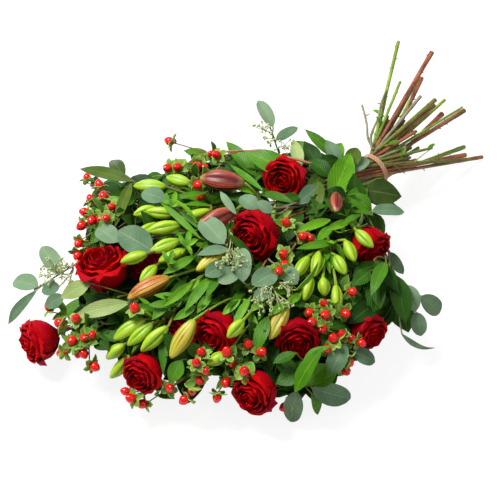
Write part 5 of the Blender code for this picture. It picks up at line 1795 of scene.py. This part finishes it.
# Deep and bright green, veins and underside, then roughness, vein count, slant and strength, puff,
# specular, coat and edge
leafLooks = {
    "roseLeaf": ((0.010, 0.045, 0.004), (0.045, 0.14, 0.010), (0.10, 0.20, 0.03), (0.09, 0.17, 0.05),
                 0.50, 11, 0.35, 0.5, 0.6, 0.14),
    "shadeLeaf": ((0.004, 0.026, 0.001), (0.026, 0.11, 0.003), (0.09, 0.20, 0.01), (0.06, 0.14, 0.02),
                  0.46, 9, 0.45, 0.5, 0.9, 0.16),
    "glossyLeaf": ((0.012, 0.070, 0.003), (0.080, 0.25, 0.006), (0.18, 0.34, 0.03), (0.12, 0.24, 0.03),
                   0.40, 9, 0.45, 0.55, 0.9, 0.2, 0.05),
    "lilyLeaf": ((0.035, 0.14, 0.004), (0.15, 0.38, 0.010), (0.24, 0.46, 0.05), (0.17, 0.34, 0.03),
                 0.44, 3, 1.0, 0.3, 0.3, 0.18),
    "lilyShadeLeaf": ((0.012, 0.060, 0.002), (0.055, 0.18, 0.006), (0.14, 0.30, 0.03), (0.08, 0.20, 0.02),
                      0.44, 3, 1.0, 0.3, 0.3, 0.16),
    "hypericumLeaf": ((0.035, 0.12, 0.008), (0.13, 0.29, 0.022), (0.28, 0.38, 0.09), (0.15, 0.27, 0.04),
                      0.50, 7, 0.4, 0.5, 0.5, 0.16, 0.0, 0.8),
    "sepalGreen": ((0.06, 0.17, 0.010), (0.17, 0.34, 0.03), (0.36, 0.46, 0.10), (0.20, 0.36, 0.05),
                   0.48, 4, 0.5, 0.5, 0.4, 0.3),
    "berrySepal": ((0.075, 0.20, 0.010), (0.17, 0.34, 0.03), (0.42, 0.48, 0.13), (0.28, 0.42, 0.07),
                   0.48, 4, 0.5, 0.5, 0.4, 0.3, 0.0, 0.9),
    "salalLeaf": ((0.030, 0.13, 0.002), (0.11, 0.32, 0.006), (0.24, 0.42, 0.03), (0.14, 0.28, 0.02),
                  0.38, 8, 0.45, 0.6, 1.0, 0.2, 0.06),
    "oliveLeaf": ((0.016, 0.042, 0.004), (0.080, 0.135, 0.012), (0.20, 0.22, 0.05), (0.12, 0.17, 0.04),
                  0.44, 9, 0.45, 0.5, 0.9, 0.18),
    "paleLeaf": ((0.17, 0.25, 0.055), (0.38, 0.47, 0.19), (0.46, 0.52, 0.28), (0.30, 0.38, 0.16),
                 0.55, 8, 0.4, 0.5, 0.6, 0.16),
    "silverLeaf": ((0.060, 0.132, 0.064), (0.19, 0.285, 0.165), (0.34, 0.42, 0.23), (0.25, 0.36, 0.19),
                   0.62, 8, 0.3, 0.4, 0.3, 0.12),
}
# Body, ribs with painted light, grooves with painted shade that also colour the streaks, foot and tip; red
# flush and strength of the streaks
budLooks = {
    "budLime": ((0.24, 0.42, 0.008), (0.42, 0.58, 0.025), (0.10, 0.23, 0.006), (0.14, 0.28, 0.010),
                (0.30, 0.44, 0.03)),
    "budRipe": ((0.44, 0.42, 0.030), (0.56, 0.50, 0.045), (0.22, 0.22, 0.010), (0.20, 0.30, 0.02),
                (0.50, 0.44, 0.05), 1.4),
    "budStriped": ((0.50, 0.15, 0.020), (0.82, 0.48, 0.08), (0.085, 0.006, 0.003), (0.26, 0.26, 0.03),
                   (0.62, 0.42, 0.08), 0.8, 16.0),
    "budRed": ((0.26, 0.026, 0.016), (0.50, 0.13, 0.06), (0.050, 0.003, 0.005), (0.30, 0.22, 0.06),
               (0.60, 0.38, 0.12), 0.4, 14.0),
}
# Two colours that run into each other, marks and roughness
barkLooks = {
    "roseBark": ((0.36, 0.115, 0.050), (0.11, 0.028, 0.012), (0.05, 0.012, 0.006), 0.55),
    "oliveBark": ((0.16, 0.21, 0.022), (0.11, 0.075, 0.025), (0.04, 0.035, 0.010), 0.55),
    "limeBark": ((0.26, 0.34, 0.030), (0.44, 0.42, 0.08), (0.14, 0.12, 0.02), 0.55),
    "lilyBark": ((0.12, 0.21, 0.012), (0.28, 0.38, 0.040), (0.07, 0.06, 0.010), 0.5),
    "twigBark": ((0.36, 0.16, 0.070), (0.13, 0.075, 0.022), (0.07, 0.025, 0.010), 0.6),
    "greyBark": ((0.30, 0.24, 0.18), (0.15, 0.17, 0.06), (0.10, 0.07, 0.04), 0.65),
    "greenBark": ((0.10, 0.17, 0.02), (0.20, 0.12, 0.04), (0.08, 0.05, 0.015), 0.55),
    "seedStalk": ((0.34, 0.40, 0.16), (0.40, 0.44, 0.20), (0.28, 0.30, 0.10), 0.6),
    "seedGreen": ((0.42, 0.50, 0.20), (0.52, 0.58, 0.30), (0.34, 0.38, 0.14), 0.5),
    "cutEnd": ((0.42, 0.40, 0.20), (0.50, 0.44, 0.26), (0.30, 0.24, 0.12), 0.7),
}
petalMaterial("rosePetal")
berryMaterial("berry")
twineMaterial("twine")
for make, looks in ((leafMaterial, leafLooks), (budMaterial, budLooks), (barkMaterial, barkLooks)):
    for name, values in looks.items():
        make(name, *values)
print("Materials ready")


# Pieces. The layout is round the tie's middle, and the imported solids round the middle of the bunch's box.
# One bloom's lowest corner in both gives the shift between them.

guide = "rose_bloom_7"
guideLow = np.min([low for owner, low, high, tree in taken if owner == guide], axis=0)
shift = asArray(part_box(guide)[0]) - guideLow
print("The bunch is shifted by", shift.round(5))


def makePiece(name):
    looks, points, loops, sizes, places = zip(*chunks[name])
    order = sorted(set(looks))
    starts = np.cumsum([0] + [len(rows) for rows in points])
    loops = np.concatenate([rows + start for rows, start in zip(loops, starts)])
    lookOf = np.concatenate([np.full(len(rows), order.index(look)) for look, rows in zip(looks, sizes)])
    points, sizes, places = np.concatenate(points) + shift, np.concatenate(sizes), np.concatenate(places)
    mesh = bpy.data.meshes.new(name + "Fine")
    mesh.vertices.add(len(points))
    mesh.vertices.foreach_set("co", points.astype(np.float32).ravel())
    mesh.loops.add(len(loops))
    mesh.loops.foreach_set("vertex_index", loops.astype(np.int32))
    mesh.polygons.add(len(sizes))
    mesh.polygons.foreach_set("loop_start", (np.cumsum(sizes) - sizes).astype(np.int32))
    mesh.update(calc_edges=True)
    mesh.polygons.foreach_set("material_index", lookOf.astype(np.int32))
    place = mesh.attributes.new("place", "FLOAT_VECTOR", "POINT")
    place.data.foreach_set("vector", places[:, :3].astype(np.float32).ravel())
    side = mesh.attributes.new("side", "FLOAT", "POINT")
    side.data.foreach_set("value", places[:, 3].astype(np.float32))
    for look in order:
        mesh.materials.append(materials[look])
    mesh.shade_smooth()
    mesh.set_sharp_from_angle(angle=math.radians(55))
    piece = bpy.data.objects.new(name + "Fine", mesh)
    bpy.context.scene.collection.objects.link(piece)
    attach(piece, "root")
    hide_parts(name)
    mesh.calc_loop_triangles()
    return len(mesh.loop_triangles)


counts = [makePiece(name) for name in sorted(chunks)]
print("Pieces ready,", len(counts), "with", sum(counts), "triangles, at most", max(counts), "in one")


# Table, lights and camera

stageValues = dict(size=30.0, paint=0.9, glow=0.86, shownPaint=0.24, sky=0.32, key=66.0, fill=9.0)

deselectAll()
bpy.ops.mesh.primitive_plane_add(size=stageValues["size"], location=(0, 0, -0.0002))
floor = bpy.context.object
floor.name = "floor"
floorMaterial = bpy.data.materials.new("floorPaint")
floorMaterial.use_nodes = True
floorTree = floorMaterial.node_tree
floorTree.nodes.clear()
# The lit table as the picture shows it, and plain pale paint for the light that it throws back
paint = addNode(floorTree, "BsdfDiffuse", {"Color": (stageValues["paint"],) * 3})
shown = addNode(floorTree, "BsdfDiffuse", {"Color": (stageValues["shownPaint"],) * 3})
glow = addNode(floorTree, "Emission", {"Strength": stageValues["glow"]})
both = addNode(floorTree, "AddShader", {0: shown.outputs[0], 1: glow.outputs[0]})
rays = addNode(floorTree, "LightPath", {})
mixed = addNode(floorTree, "MixShader", {0: rays.outputs["Is Camera Ray"], 1: paint.outputs[0],
                                         2: both.outputs[0]})
addNode(floorTree, "OutputMaterial", {"Surface": mixed.outputs[0]})
floor.data.materials.append(floorMaterial)

shiftVector = Vector(shift)
aim = turnToModel @ viewAim + shiftVector
eye = turnToModel @ viewEye + shiftVector
forward = (turnToModel @ viewDown).normalized()
upward = (turnToModel @ viewUp).normalized()
rightward = forward.cross(upward).normalized()
camera = bpy.data.cameras.new("camera")
camera.sensor_fit = "HORIZONTAL"
camera.angle = 2 * math.atan(pictureMiddle / lens)
camera.clip_end = 50
cameraItem = bpy.data.objects.new("camera", camera)
cameraTurn = Matrix((rightward, upward, -forward)).transposed().to_4x4()
cameraItem.matrix_world = Matrix.Translation(eye) @ cameraTurn
bpy.context.scene.collection.objects.link(cameraItem)
bpy.context.scene.camera = cameraItem


def areaLight(name, right, up, toward, distance, size, power):
    # Placed as the picture shows it from the middle of the bunch
    light = bpy.data.lights.new(name, "AREA")
    light.size = size
    light.energy = power
    item = bpy.data.objects.new(name, light)
    way = (rightward * right + upward * up - forward * toward).normalized()
    item.location = aim + way * distance
    item.rotation_euler = (-way).to_track_quat("-Z", "Y").to_euler()
    bpy.context.scene.collection.objects.link(item)


areaLight("keyLight", -0.6, 0.95, 0.75, 2.0, 0.9, stageValues["key"])
areaLight("fillLight", 0.8, 0.2, 1.0, 2.4, 2.0, stageValues["fill"])
world = bpy.data.worlds.new("studio")
world.use_nodes = True
world.node_tree.nodes["Background"].inputs["Color"].default_value = (1, 1, 1, 1)
world.node_tree.nodes["Background"].inputs["Strength"].default_value = stageValues["sky"]
bpy.context.scene.world = world
bpy.context.scene.view_settings.view_transform = "Standard"
print("Table, lights and camera ready")
